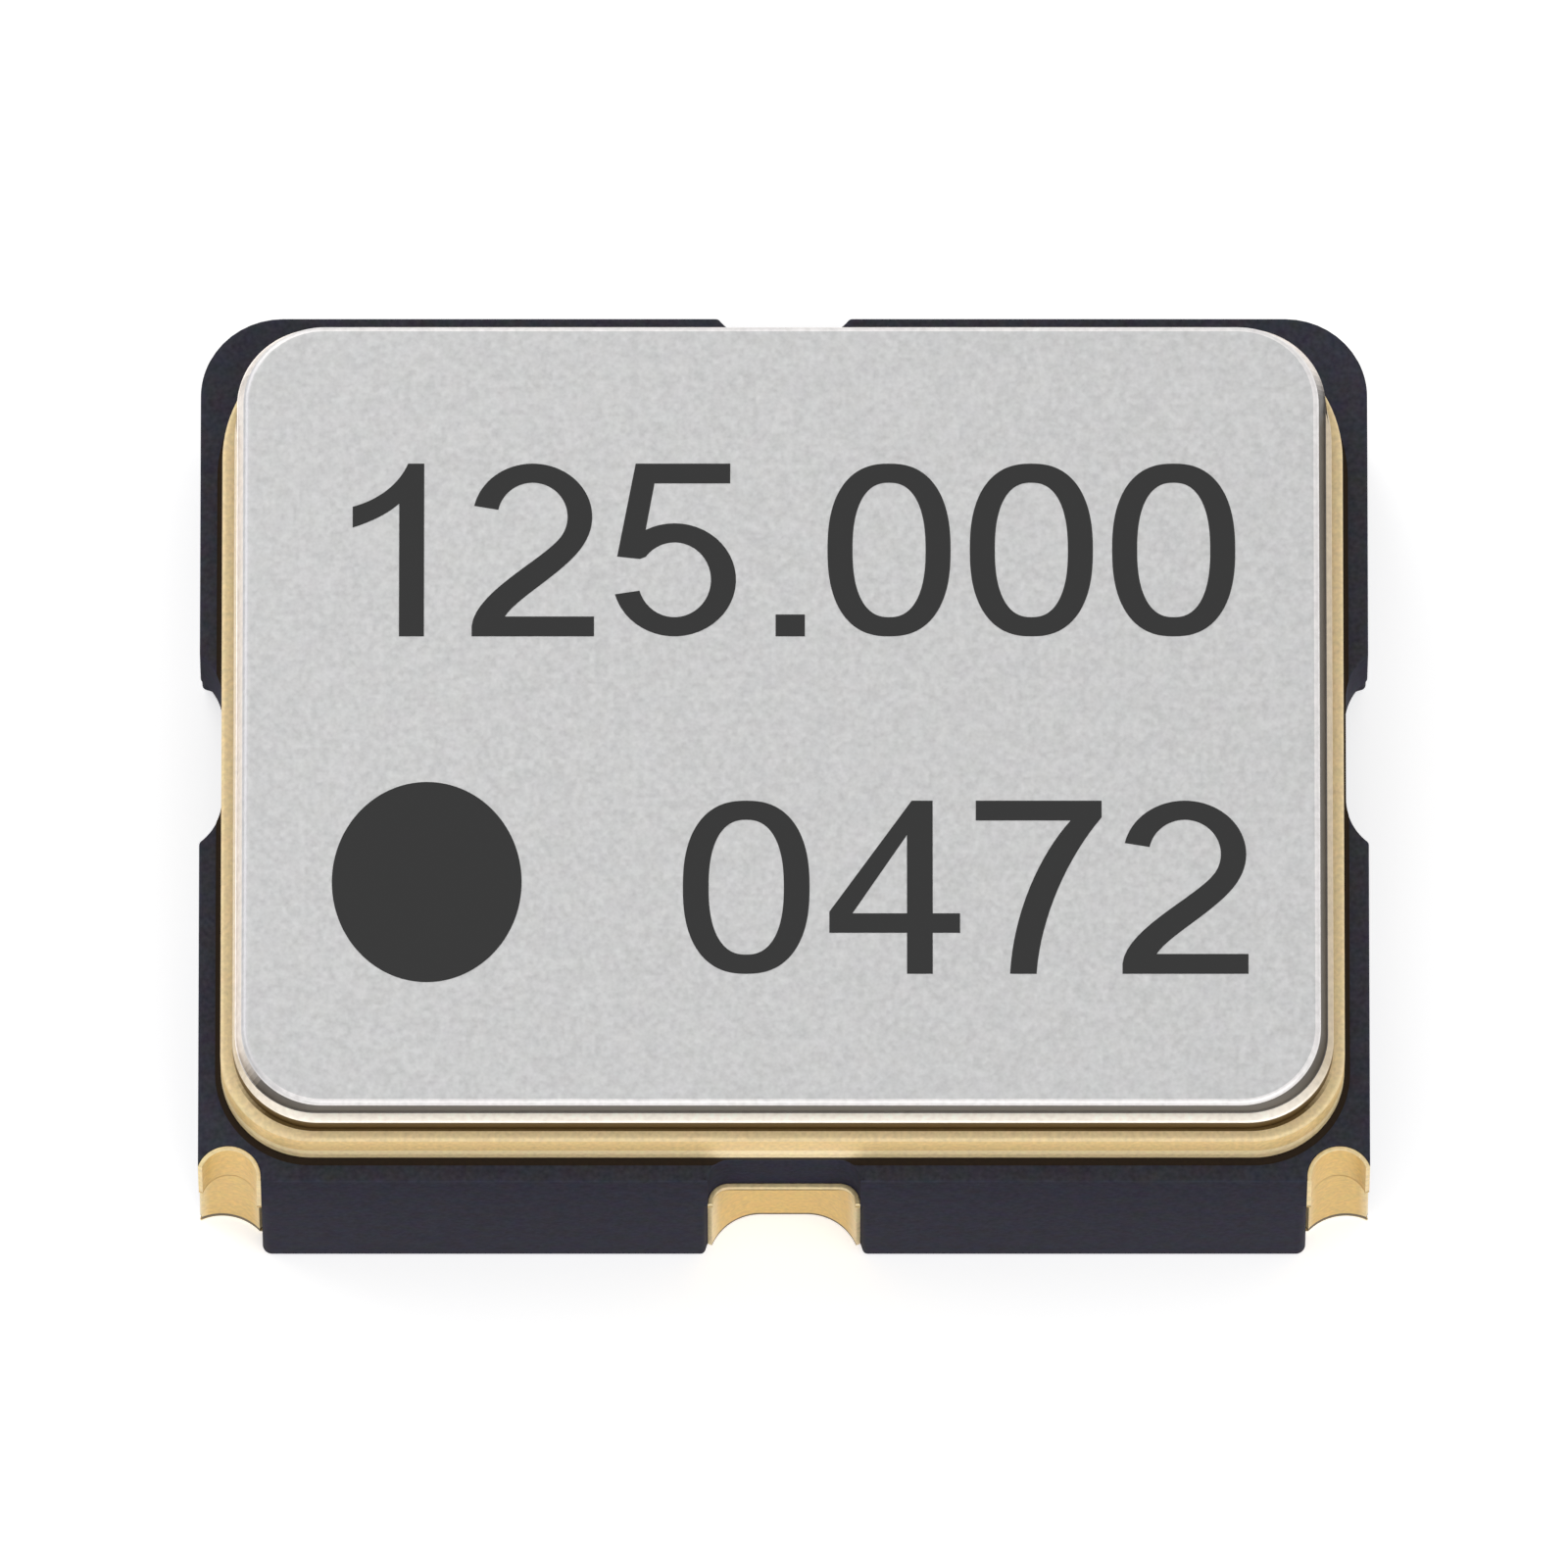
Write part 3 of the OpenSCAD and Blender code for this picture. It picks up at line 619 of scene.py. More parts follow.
def half_wall(centre, radius, rounding, end):
    """One side of a punched hole's wall, from the face: its rounded mouth, part of a small circle that
    touches the face and the hole, then the hole's circle up to an angle."""
    x = centre[0] + math.sqrt((radius + rounding) ** 2 - (rounding - centre[1]) ** 2)
    angle = math.degrees(math.atan2(rounding - centre[1], x - centre[0]))
    opening = arc((x, rounding), rounding, 270, 180 + angle, MOUTH_STEPS)
    return np.concatenate([opening, arc(centre, radius, angle, end)[1:]])


def slot_wall(c, length, depth):
    """A slot with round ends of a centre distance, reaching in by a depth."""
    return both_halves(half_wall((length / 2, depth - c.slot), c.slot, c.mouth, 90))


def front_notch(c, lining=0.0):
    """The top layer's front notch, or the same notch with a lining: a square notch with round inner
    corners."""
    r, w = c.front_round - lining, c.front_width / 2 - lining
    corner = arc((w - r, RING_GAP - lining - r), r, 0, 90, ROUND_STEPS)
    return both_halves(np.concatenate([[(w, 0.0)], corner]))


def side_walls(c):
    """For each side, the lower wall and the top layer's wall of its notch, in the side's own frame
    and from right to left. The upper one starts and ends at the lower one's corners on the face."""
    deep = c.slot - c.slot_out
    long_lower, short_lower = slot_wall(c, c.long_slot, deep), slot_wall(c, c.short_slot, deep)
    end_upper, off = slot_wall(c, c.end_slot, RING_GAP), (c.short_back, 0)
    pairs = {FRONT: (long_lower, front_notch(c)), RIGHT: (short_lower + off, end_upper),
             BACK: (long_lower, slot_wall(c, c.back_slot, RING_GAP)),
             LEFT: (short_lower - off, end_upper)}
    return {side: (low, np.concatenate([low[:1], high, low[-1:]]))
            for side, (low, high) in pairs.items()}


class Corner:
    """A corner's two circles in its own frame: the hole punched through the lower layers, and at the
    front the dome of the top layer. Both end on the side face. At the front the hole's circle begins
    at the upright edge where the dome does."""

    def __init__(self, c):
        self.edge = c.dome_in + c.dome
        self.hole, self.dome = (c.punch_in, -c.punch_out), (c.dome_in, c.dome_up)
        self.hole_start = angle_at(c.punch, self.edge - c.punch_in)
        self.hole_end = 180 - angle_at(c.punch, c.punch_in)
        self.dome_end = 180 - angle_at(c.dome, c.dome_in)


def front_corner(c):
    """The lower wall, the top layer's wall and the face that hangs between them at a front corner,
    from the front face to the side face. The lower wall is square to the front face as far as the
    edge, and the hole's circle from there."""
    k, rounding = Corner(c), c.corner_mouth
    opening = arc((k.edge + rounding, rounding), rounding, 270, 180, MOUTH_STEPS)
    low = np.concatenate([opening, arc(k.hole, c.punch, k.hole_start, k.hole_end)])
    dome = arc(k.dome, c.dome, 0, k.dome_end)
    high = np.concatenate([low[:1], [(k.edge, 0.0)], dome, low[-1:]])
    return low, high, hanging(low, high)


def back_corner(c):
    """The same three at a back corner, whose top layer is round. The punched wall ends where its
    circle crosses the body's round corner. That point lies on the line between the circles' centres,
    a step along it and a step across it that follow from the two radii."""
    centre, r = np.array(Corner(c).hole), c.back_corner
    apart = np.linalg.norm(r - centre)
    line = (r - centre) / apart
    along = (c.punch ** 2 - r ** 2 + apart ** 2) / (2 * apart)
    across = math.sqrt(c.punch ** 2 - along ** 2)
    cross = centre + along * line + across * np.array((-line[1], line[0]))
    on_punch = math.degrees(math.atan2(*(cross - centre)[::-1]))
    on_round = math.degrees(math.atan2(*(cross - r)[::-1])) % 360
    low = half_wall(centre, c.punch, c.corner_mouth, on_punch)
    shared = arc((r, r), r, on_round, 180, ROUND_STEPS)[1:]
    first = arc((r, r), r, 270, on_round, MOUTH_STEPS)
    return (np.concatenate([low, shared]), np.concatenate([low[:1], first, shared]),
            np.concatenate([low, first[::-1]]))


def hanging(low, high):
    """The face of the top layer over a notch, between its two walls."""
    return np.concatenate([low, high[1:-1][::-1]])


def body_outlines(c):
    """The lower layers' outline and the top layer's, counterclockwise from the front left corner, and
    the faces of the top layer that hang over the notches."""
    low, high, over = [], [], []
    sides = side_walls(c)
    for i, side in zip(SIGNS, sides):
        below, above, hang = front_corner(c) if i in FRONT_TERMINALS else back_corner(c)
        order = -1 if SIGNS[i][0] * SIGNS[i][1] > 0 else 1
        low += [at_corner(below, i)[::order], at_side(sides[side][0], side)[::-1]]
        high += [at_corner(above, i)[::order], at_side(sides[side][1], side)[::-1]]
        over += [at_corner(hang, i), at_side(hanging(*sides[side]), side)]
    return np.concatenate(low), np.concatenate(high), over


def body_edge_share(c, outline):
    """How much of the edge rounding fits at each corner of the top layer's outline: all of it, but
    less along the domes and none at the thin tips where they open on the side faces."""
    x, y = (np.array(BODY) / 2 - np.abs(outline)).T
    return np.where(y < c.dome_up + c.dome, np.clip(x / (THIN * c.edge), 0, 1), 1.0)


class OSCILLATOR_OT_ceramic(Operator):
    """Build the layered ceramic body with its notches and cavity"""
    bl_idname = "oscillator.ceramic"
    bl_label = "Ceramic body"

    def execute(self, context):
        s = context.scene.oscillator
        c, base, top = s.ceramic, CERAMIC_LOW.z, CERAMIC_HIGH.z
        low, high, over = body_outlines(c)
        profile, lower_tones = rounded_edge(base, c.shelf, below=c.edge,
                                            tones=(CUT_WALL, CUT_WALL, CUT_WALL, CERAMIC))
        lower = swept(low, profile)
        profile, upper_tones = rounded_edge(c.shelf, top, above=c.edge,
                                            tones=(CUT_WALL, CUT_WALL, CERAMIC, CERAMIC))
        share = body_edge_share(c, high)
        upper = swept(high, [(inset * share, z) for inset, z in profile])
        cavity, rounding = RING_GAP + s.ring.wall, s.ring.cavity_corner
        ledge, well = (rounded(*opening, c.well_corner, (c.well_x, 0.0))
                       for opening in (c.ledge_opening, c.well))
        inside = np.array([framed(cavity, rounding, top), framed(cavity, rounding, c.shelf),
                           level(ledge, c.shelf), level(ledge, c.ledge),
                           level(well, c.ledge), level(well, c.floor)])
        parts = [skin(lower, lower_tones), skin(upper, upper_tones),
                 flat([lower[0]], False, LIGHTENED_UNDERSIDE), flat([upper[-1], inside[0]], True),
                 skin(inside), flat([inside[-1]], True)]
        # painted shade on the faces under the top layer's overhangs
        parts += [flat([level(loop, c.shelf)], False, SHADED_OVERHANG) for loop in over]
        piece("ceramic_skin", parts, ceramic_finish(s), ["ceramic_base"])
        return {"FINISHED"}


# ---- plating ----

def band(centre, radius, thickness, start, end):
    """A skin of a thickness on the inside of a circle's arc."""
    return np.concatenate([arc(centre, radius, start, end),
                           arc(centre, radius - thickness, end, start)])


def pad_outline(s, i):
    """A solder pad in its corner's own frame: a rectangle, the index pad's arm or a front pad's round
    collar, and the bite of the corner notch."""
    c, p, k = s.ceramic, s.plating, Corner(s.ceramic)
    r = c.punch - p.thickness
    right, back = p.pad_x + p.pad_length, p.pad_y + p.pad_width
    outline = [(right, p.pad_y), (right, back), (p.pad_x, back)]
    if i == INDEX_TERMINAL:
        arm_x, arm_y = p.pad_x + p.arm_length, p.pad_y + p.arm_width
        outline = [(arm_x, p.pad_y), (arm_x, arm_y), (right, arm_y)] + outline[1:]
    if i in FRONT_TERMINALS:
        start = angle_at(c.dome, p.pad_x - c.dome_in)
        collar = arc((c.dome_in, p.collar_in), c.dome, start, k.dome_end)
        bite = arc(k.hole, r, k.hole_end, k.hole_start)
        return np.concatenate([outline, collar, [(0.0, bite[0][1])], bite])
    return np.concatenate([outline, arc(k.hole, r, angle_at(r, p.pad_x - c.punch_in), k.hole_start)])


def pad_edge_share(s, outline):
    """How much of the rounding fits at each corner of a front pad: all of it, but only a share on the
    thin collar, whose width is the distance from the bite's circle or to the collar's."""
    c, p = s.ceramic, s.plating
    from_bite = np.linalg.norm(outline - Corner(c).hole, axis=1) - c.punch + p.thickness
    to_collar = c.dome - np.linalg.norm(outline - (c.dome_in, p.collar_in), axis=1)
    width = np.maximum(from_bite, to_collar)
    return np.where(outline[:, 0] > p.pad_x, 1.0, np.clip(width / (THIN * p.pad_edge), 0, 1))


def shelf_outline(s):
    """The plating under the top layer at a front corner: the punched hole less the lined dome. Its
    last point on the side face is where the ray through the lining's first point meets it."""
    c, p, k = s.ceramic, s.plating, Corner(s.ceramic)
    wall = arc(k.hole, c.punch, k.hole_start, k.hole_end)
    lining = arc(k.dome, c.dome - p.thickness, k.dome_end, 0)
    ray = lining[0] - np.array(k.dome)
    face_y = lining[0][1] - lining[0][0] * ray[1] / ray[0]
    start = [(k.edge - p.thickness, 0.0), (k.edge, 0.0)]
    return np.concatenate([start, wall, [(0.0, face_y)], lining])


def highlight_share(s, outline):
    """How much painted highlight a front corner's plating has at each place: one at its ends, easing
    to nothing at the highlit width from them."""
    x = outline[:, 0]
    return eased(1 - np.minimum(x, Corner(s.ceramic).edge - x) / s.plating.highlit)


def slab(loop, z0, z1, below=0.0, above=0.0, tones=(GOLD,) * 4, caps=(GOLD, GOLD), share=None,
         highlit=None, foot=0.0):
    """A closed slab of plating: the profile of rounded_edge carried round the loop, and a level face
    at each end. Where the slab is narrow, each corner's inset is cut to a share of the profile's.
    Where it is highlit, the gold goes over to the painted highlight tone. A foot is a strip low on
    the wall painted dark as shade."""
    profile, strips = rounded_edge(z0, z1, below, above, tones)
    # painted shade: a foot is a dark strip low on the wall
    if foot:
        profile.insert(1, (0.0, z0 + foot))
        strips.insert(0, SHADE_LINE)
    turned = counterclockwise(loop)
    share, highlit = (each if each is None or turned is loop else each[::-1] for each in (share, highlit))
    if share is not None:
        profile = [(inset * share, z) for inset, z in profile]
    rows = swept(turned, profile)
    tone = banded(len(loop), *((1, float(strip_tone)) for strip_tone in strips))
    # painted highlight: towards a wall's ends the gold goes over to the highlight tone
    if highlit is not None:
        here = (highlit + np.roll(highlit, -1)) / 2
        tone = np.where(tone == GOLD, between(GOLD, HIGHLIT_GOLD, here), tone)
    return [skin(rows, tone), flat([rows[0]], False, caps[0]), flat([rows[-1]], True, caps[1])]


def solder_pad(s, i):
    """A pad as an outline, its two heights and how slab finishes it."""
    p, outline = s.plating, pad_outline(s, i)
    share = pad_edge_share(s, outline) if i in FRONT_TERMINALS else None
    # painted highlight on the pad's lower rounded edge, painted shade on its wall, and its underside
    # in the gold painted for the light from below
    return outline, 0.0, CERAMIC_LOW.z, dict(
        below=p.pad_edge, share=share, tones=(HIGHLIT_GOLD, SHADE_LINE, GOLD, UNDERLIT_GOLD),
        caps=(UNDERLIT_GOLD, GOLD))


def front_climb(s):
    """The plating that climbs a front corner, in the same form: on the punched wall, under the top
    layer, and round the dome."""
    c, p, k = s.ceramic, s.plating, Corner(s.ceramic)
    under, middle = c.shelf - p.thickness, c.shelf - p.thickness / 2
    wall = band(k.hole, c.punch, p.thickness, k.hole_start, k.hole_end)
    lining = np.concatenate([[(k.edge, 0.0)], band(k.dome, c.dome, p.thickness, 0, k.dome_end),
                             [(k.edge - p.thickness, 0.0)]])
    # painted highlight on the plating's ends and the dome lining's top edge, and painted shade along
    # the foot of the punched wall
    return [(wall, CERAMIC_LOW.z, middle, dict(highlit=highlight_share(s, wall), foot=p.shaded)),
            (shelf_outline(s), under, c.shelf, {}),
            (lining, middle, CERAMIC_HIGH.z, dict(
                above=p.edge, highlit=highlight_share(s, lining), caps=(GOLD, HIGHLIT_GOLD),
                tones=(GOLD, GOLD, HIGHLIT_GOLD, HIGHLIT_GOLD)))]


def back_climb(s):
    """The plating on a back corner's punched wall, in the same form."""
    c, p, k = s.ceramic, s.plating, Corner(s.ceramic)
    end = between(k.hole_start, k.hole_end, p.back_share)
    return [(band(k.hole, c.punch, p.thickness, k.hole_start, end), CERAMIC_LOW.z, c.shelf, {})]


class OSCILLATOR_OT_terminals(Operator):
    """Build the four solder pads with the plating that climbs their corner notches"""
    bl_idname = "oscillator.terminals"
    bl_label = "Terminals"

    def execute(self, context):
        s = context.scene.oscillator
        for i in SIGNS:
            climb = front_climb(s) if i in FRONT_TERMINALS else back_climb(s)
            parts = [part for outline, z0, z1, look in [solder_pad(s, i)] + climb
                     for part in slab(at_corner(outline, i), z0, z1, **look)]
            piece(f"terminal_skin_{i}", parts, gold_finish(s), [f"terminal_{i}"])
        return {"FINISHED"}


def front_wall(c):
    """Half the front notch's width, its lower slot's right centre, and the angle on that slot's circle
    where the top layer's notch begins."""
    half, centre = c.front_width / 2, (c.long_slot / 2, -c.slot_out)
    return half, centre, angle_at(c.slot, half - centre[0])


def front_band(s):
    """The band on the front notch's lower wall: a thin strip along the wall whose crest eases up
    towards its two ends, with a painted highlight at the ends and a line of painted shade at its foot."""
    c, p, base = s.ceramic, s.plating, CERAMIC_LOW.z
    half, centre, start = front_wall(c)
    behind, face = (both_halves(arc(centre, r, start, 90)) for r in (c.slot, c.slot - p.thickness))
    x = np.abs(behind[:, 0])
    rise = eased((x - p.rise_from) / (half - p.rise_from))
    crest = between(p.band_top, p.band_ends, rise)
    step = (face - behind) * p.edge / p.thickness
    rows = [(behind, base), (behind, crest - p.edge), (behind + step, crest), (face - step, crest),
            (face, crest - p.edge), (face, base + p.shaded), (face, base)]
    grid = np.array([np.column_stack([at_side(path, FRONT), np.broadcast_to(z, len(path))])
                     for path, z in rows])
    near = np.clip(1 - (half - x) / p.highlit, 0, 1)
    highlit = eased((near[1:] + near[:-1]) / 2)
    # painted highlight on the crest and towards the ends, and a strip of painted shade at the foot
    tones = banded(len(highlit), (1, GOLD), (3, HIGHLIT_GOLD), (1, between(GOLD, HIGHLIT_GOLD, highlit)),
                   (1, SHADE_LINE), (1, GOLD))
    return [strip(grid, tones, HIGHLIT_GOLD)]


def front_land(s):
    """The land under the front notch's shelf, between the lower wall and the notch's lining, and the
    thin lip that it turns up round the top layer's wall."""
    c, p = s.ceramic, s.plating
    half, centre, start = front_wall(c)
    end = math.degrees(math.asin((p.land_in + c.slot_out) / c.slot))
    reach = both_halves(np.concatenate([[(half, 0.0)], arc(centre, c.slot, start, end)]))
    opening = front_notch(c, p.lip)[::-1]
    land, lip = np.concatenate([reach, opening]), np.concatenate([front_notch(c), opening])
    under, middle = c.shelf - p.thickness, c.shelf - p.thickness / 2
    # painted highlight on the land's underside and on the lip's wall, edge and top
    return slab(at_side(land, FRONT), under, c.shelf, caps=(HIGHLIT_GOLD, GOLD)) + slab(
        at_side(lip, FRONT), middle, c.shelf + p.lip_height, above=p.edge,
        tones=(GOLD, HIGHLIT_GOLD, HIGHLIT_GOLD, HIGHLIT_GOLD), caps=(GOLD, HIGHLIT_GOLD))


class OSCILLATOR_OT_front_plating(Operator):
    """Build the plating in the front notch: the band on its wall and the land under its shelf"""
    bl_idname = "oscillator.front_plating"
    bl_label = "Front notch plating"

    def execute(self, context):
        s = context.scene.oscillator
        gold = gold_finish(s)
        piece("front_band", front_band(s), gold, ["side_castellation_front"])
        piece("front_land", front_land(s), gold, ["notch_land_front"])
        return {"FINISHED"}


# ---- seal ring, braze and lid ----

# The ring's wall is painted brighter towards its foot in these bands, to offset the shade there.
WALL_BANDS = (0.0, 0.2, 0.4, 0.62)     # shares of the ring's height where its wall changes tone
CLEAR = 1.7                            # the joint keeps this many edge radii from the ring's face
# How squarely a place has to face a side for its painted light or shade to begin to change, and to
# have changed.
JOINT_SHADE_FRONT, SHEEN_FRONT = (0.3, 0.8), (0.3125, 0.9375)
LIT_WALL_LEFT, LIT_WALL_BACK, BEVEL_HIGHLIGHT_LEFT = (0.75, 1.0), (0.1, 0.4333), (0.5, 1.0)


def ring_gaps(s):
    return RING_GAP + np.array(s.ring.inset)


def lid_gaps(s):
    return LID_GAP + np.array(s.lid.rim)


def ring_corners(s):
    return np.array((s.ring.corner, s.ring.back_corner))


def notch_depth(c, along, side):
    """How far in the top layer's notch reaches at each place along a side: the depth of the circle or
    of the rounded square there, and nothing beyond its ends."""
    x = np.abs(along)
    if side == FRONT:
        r, w = c.front_round, c.front_width / 2
        fall = np.sqrt(np.clip(r ** 2 - np.clip(x - (w - r), 0, r) ** 2, 0, None))
        return np.where(x < w, RING_GAP - r + fall, 0)
    half = (c.back_slot if side == BACK else c.end_slot) / 2
    fall = np.sqrt(np.clip(c.slot ** 2 - np.clip(x - half, 0, c.slot) ** 2, 0, None))
    return np.clip(RING_GAP - c.slot + fall, 0, None)


def ring_skin(s):
    """The ring, each row a round-cornered rectangle: its wall in bands of gold painted brighter
    towards the foot to offset the shade there, the rounded upper edge and the rim painted paler to
    offset the shade beside the lid, the joint beside the lid painted as shade where it faces the
    front, and the cavity's wall."""
    r, low, high = s.ring, RING_LOW.z, RING_HIGH.z
    away, corner, cavity = ring_gaps(s), ring_corners(s), RING_GAP + s.ring.wall
    joint = np.maximum(lid_gaps(s) - r.joint, away + CLEAR * r.edge)
    rows = [(away, corner, between(low, high, part)) for part in WALL_BANDS]
    rows += round_over(away, corner, high, r.edge, r.edge)
    rows += [(away + LEVEL * r.edge, corner - LEVEL * r.edge, high),
             (joint, corner - CLEAR * r.edge, high),
             (cavity, r.cavity_corner, high), (cavity, r.cavity_corner, low)]
    grid = np.array([framed(*row) for row in rows])
    # painted shade: the rim strip beside the lid turns dark brown where it faces the front
    front = facing(inward(grid[0][:, :2]), FRONT, *JOINT_SHADE_FRONT)
    tones = banded(grid.shape[1], (1, LIT_RING_FOOT), (1, LIT_LOW_WALL), (2, RING),
                   (EDGE_STEPS + 2, LIT_RING_TOP), (1, between(LIT_RING_TOP, JOINT_SHADE, front)), (2, RING))
    return [skin(grid, tones, closed=True)]


def braze_skin(s):
    """The braze: a hollow quarter round from the ring's foot out on to the ceramic, cut short where a
    notch comes near, and the cavity's wall. Its dark tint is painted shade along the ring's foot."""
    r, base, low = s.ring, CERAMIC_HIGH.z, RING_LOW.z
    away, cavity = ring_gaps(s), RING_GAP + r.wall
    edge = framed(away, ring_corners(s), base, SIDE_STEPS)[:, :2]
    step, room = inward(edge), np.full(len(edge), RING_GAP)
    for side in (FRONT, RIGHT, BACK, LEFT):
        depth = notch_depth(s.ceramic, edge[:, 0 if side in (FRONT, BACK) else 1], side)
        room = np.where(step @ INWARD[side] > STRAIGHT, away[side] - depth, room)
    foot = np.minimum(r.foot, room)
    rows = swept(edge, [(-foot * short, between(base, low, far)) for far, short in quarter()])
    inner = [framed(cavity, r.cavity_corner, z, SIDE_STEPS) for z in (low, base)]
    return [skin(np.concatenate([rows, inner]), closed=True)]


class OSCILLATOR_OT_ring(Operator):
    """Build the seal ring and the braze that holds it"""
    bl_idname = "oscillator.ring"
    bl_label = "Seal ring and braze"

    def execute(self, context):
        s = context.scene.oscillator
        piece("ring_skin", ring_skin(s), ring_finish(s), ["seal_ring"])
        piece("braze_skin", braze_skin(s), braze_shade_finish(s), ["seal_braze"])
        return {"FINISHED"}


def lid_skin(s):
    """The lid, each row a round-cornered rectangle: the flange's cut edge and its rounding, the hollow
    where the plateau rises, the plateau's wall and its rounding. The cut edge is painted dark as shade
    and the flange's top is a painted reflection, brightest at the front; the plateau's wall is painted
    shade, turning to painted light at the left and back; its rounding is a painted highlight, dimmer
    at the left."""
    d, ledge = s.lid, LID_LOW.z + s.lid.flange
    rim, foot, wall = lid_gaps(s), np.array(d.foot), np.array(d.wall_top)
    outer = np.array((s.ring.corner - d.step / 2, d.back_corner))
    inner = np.array((s.ring.corner - d.step, d.plateau_corner))
    rows = [(rim, outer, LID_LOW.z)]
    rows += round_over(rim, outer, ledge, d.flange_edge, d.flange_edge, LID_STEPS)
    rows += [(foot - d.fillet * short, inner + d.fillet * short, ledge + d.fillet * far)
             for far, short in quarter(LID_STEPS)]
    rows += round_over(wall, inner, LID_HIGH.z, d.bevel, d.bevel_drop, LID_STEPS)
    rows += [(wall + LEVEL * d.bevel, inner - LEVEL * d.bevel, LID_HIGH.z)]
    grid = np.array([framed(*row) for row in rows])
    step = inward(grid[0][:, :2])
    # painted light on the plateau's wall at the left and back, painted shade elsewhere
    light = np.maximum(facing(step, LEFT, *LIT_WALL_LEFT), facing(step, BACK, *LIT_WALL_BACK))
    tones = banded(
        len(step), (1, FLANGE_EDGE_SHADE),
        (LID_STEPS + 1, between(SIDE_SHEEN, FRONT_SHEEN, facing(step, FRONT, *SHEEN_FRONT))),
        (LID_STEPS + 1, between(SHADED_PLATEAU_WALL, LIT_PLATEAU_WALL, light)),
        # painted highlight on the plateau's rounding, dimmer at the left
        (LID_STEPS, between(BEVEL_HIGHLIGHT, LEFT_BEVEL_HIGHLIGHT, facing(step, LEFT, *BEVEL_HIGHLIGHT_LEFT))), (1, LID))
    return [skin(grid, tones), flat([grid[0]], False, LID), flat([grid[-1]], True, LID)]


class OSCILLATOR_OT_lid(Operator):
    """Build the stepped lid"""
    bl_idname = "oscillator.lid"
    bl_label = "Lid"

    def execute(self, context):
        s = context.scene.oscillator
        piece("lid_skin", lid_skin(s), lid_finish(s), ["lid"])
        return {"FINISHED"}


# ---- marks ----

CELL = 370             # pitch of the numbers, in units of which a digit is 511 high
POINT_CELL = 185       # pitch of the point


def oval(middle, across, start, end, power=2.0, steps=40):
    """Part of a superellipse: the middle plus half its size times the cosine and sine of the angle,
    each raised to two over the power with its sign kept. A power of 2 gives an ellipse."""
    a = np.radians(np.linspace(start, end, steps + 1))
    turn = np.stack([np.cos(a), np.sin(a)], 1)
    return np.asarray(middle) + np.asarray(across) / 2 * np.sign(turn) * np.abs(turn) ** (2 / power)


def bend(*p, steps=16):
    """Cubic curve from the first point to the last, steered by the two between them: the points
    weighted by the terms of (1 - t + t) cubed. The first point itself is left out."""
    t = np.linspace(0, 1, steps + 1)[1:, None]
    return sum(n * (1 - t) ** (3 - k) * t ** k * np.asarray(p[k]) for k, n in enumerate((1, 3, 3, 1)))


def joined(*runs):
    return np.concatenate([np.atleast_2d(np.asarray(run, float)) for run in runs])


def digit_shapes():
    """Outlines of the plain numbers, each an outer loop and its holes: ovals, cubic bends and straight
    strokes 65 wide upright and 56 level."""
    zero, bowl, top = (160, 255.5), (157, 167), (158, 353.5)
    neck_right, neck_left = (298.5, 287), (240.5, 310.2)
    return {
        "0": [oval(zero, across, 0, 360, power=2.4, steps=96)[:-1]
              for across in ((320, 511), (190, 399))],
        "1": [joined((246, 0), (246, 511), (204, 511),
                     bend((204, 511), (180, 450), (130, 405), (60, 383)), (60, 322),
                     bend((60, 322), (110, 340), (150, 362), (181, 393)), (181, 0))],
        "2": [joined((0, 0), (318, 0), (318, 58), (86, 58),
                     bend((86, 58), (120, 120), (262, 200), neck_right),
                     oval(top, (310, 315), -25, 168)[1:], oval(top, (182, 203), 168, -25),
                     bend(neck_left, (214, 240), (10, 140), (0, 30)))],
        "4": [joined((196, 0), (261, 0), (261, 121), (330, 121), (330, 178), (261, 178), (261, 511),
                     (208, 511), (0, 183), (0, 121), (196, 121)),
              joined((196, 178), (196, 410), (58, 178))],
        "5": [joined(oval(bowl, (320, 334), 195, 478), (105, 453), (302, 453), (302, 511), (56, 511),
                     (8, 236), (67, 229), oval(bowl, (190, 222), 142, -163))],
        "7": [joined((153, 0), bend((153, 0), (163, 170), (235, 350), (318, 462)), (318, 511),
                     (0, 511), (0, 453), (240, 453),
                     bend((240, 453), (160, 350), (95, 180), (86, 0)))],
        ".": [joined((50, 0), (126, 0), (126, 64), (50, 64))],
    }


def plate(loops, z0, z1):
    """A thin plate with holes: the outer loop runs counterclockwise and the holes clockwise, so that
    every wall faces out."""
    loops = [counterclockwise(loop)[::1 if k == 0 else -1] for k, loop in enumerate(loops)]
    low, high = ([level(loop, z) for loop in loops] for z in (z0, z1))
    return [skin(np.array(pair)) for pair in zip(low, high)] + [flat(low, False), flat(high, True)]


def numbers(text, box, z, thickness):
    """Plain numbers in cells of equal pitch, half of it for the point, scaled to fill a box."""
    shapes, x, row = digit_shapes(), 0, []
    for mark in text:
        if mark not in shapes:
            raise ValueError(f"the marks have no shape for {mark!r}")
        row.append([loop + (x, 0) for loop in shapes[mark]])
        x += POINT_CELL if mark == "." else CELL
    corners = np.concatenate([loop for loops in row for loop in loops])
    low, high = corners.min(0), corners.max(0)
    start, scale = np.array(box[:2]), np.subtract(box[2:], box[:2]) / (high - low)
    return [part for loops in row
            for part in plate([start + (loop - low) * scale for loop in loops], z, z + thickness)]


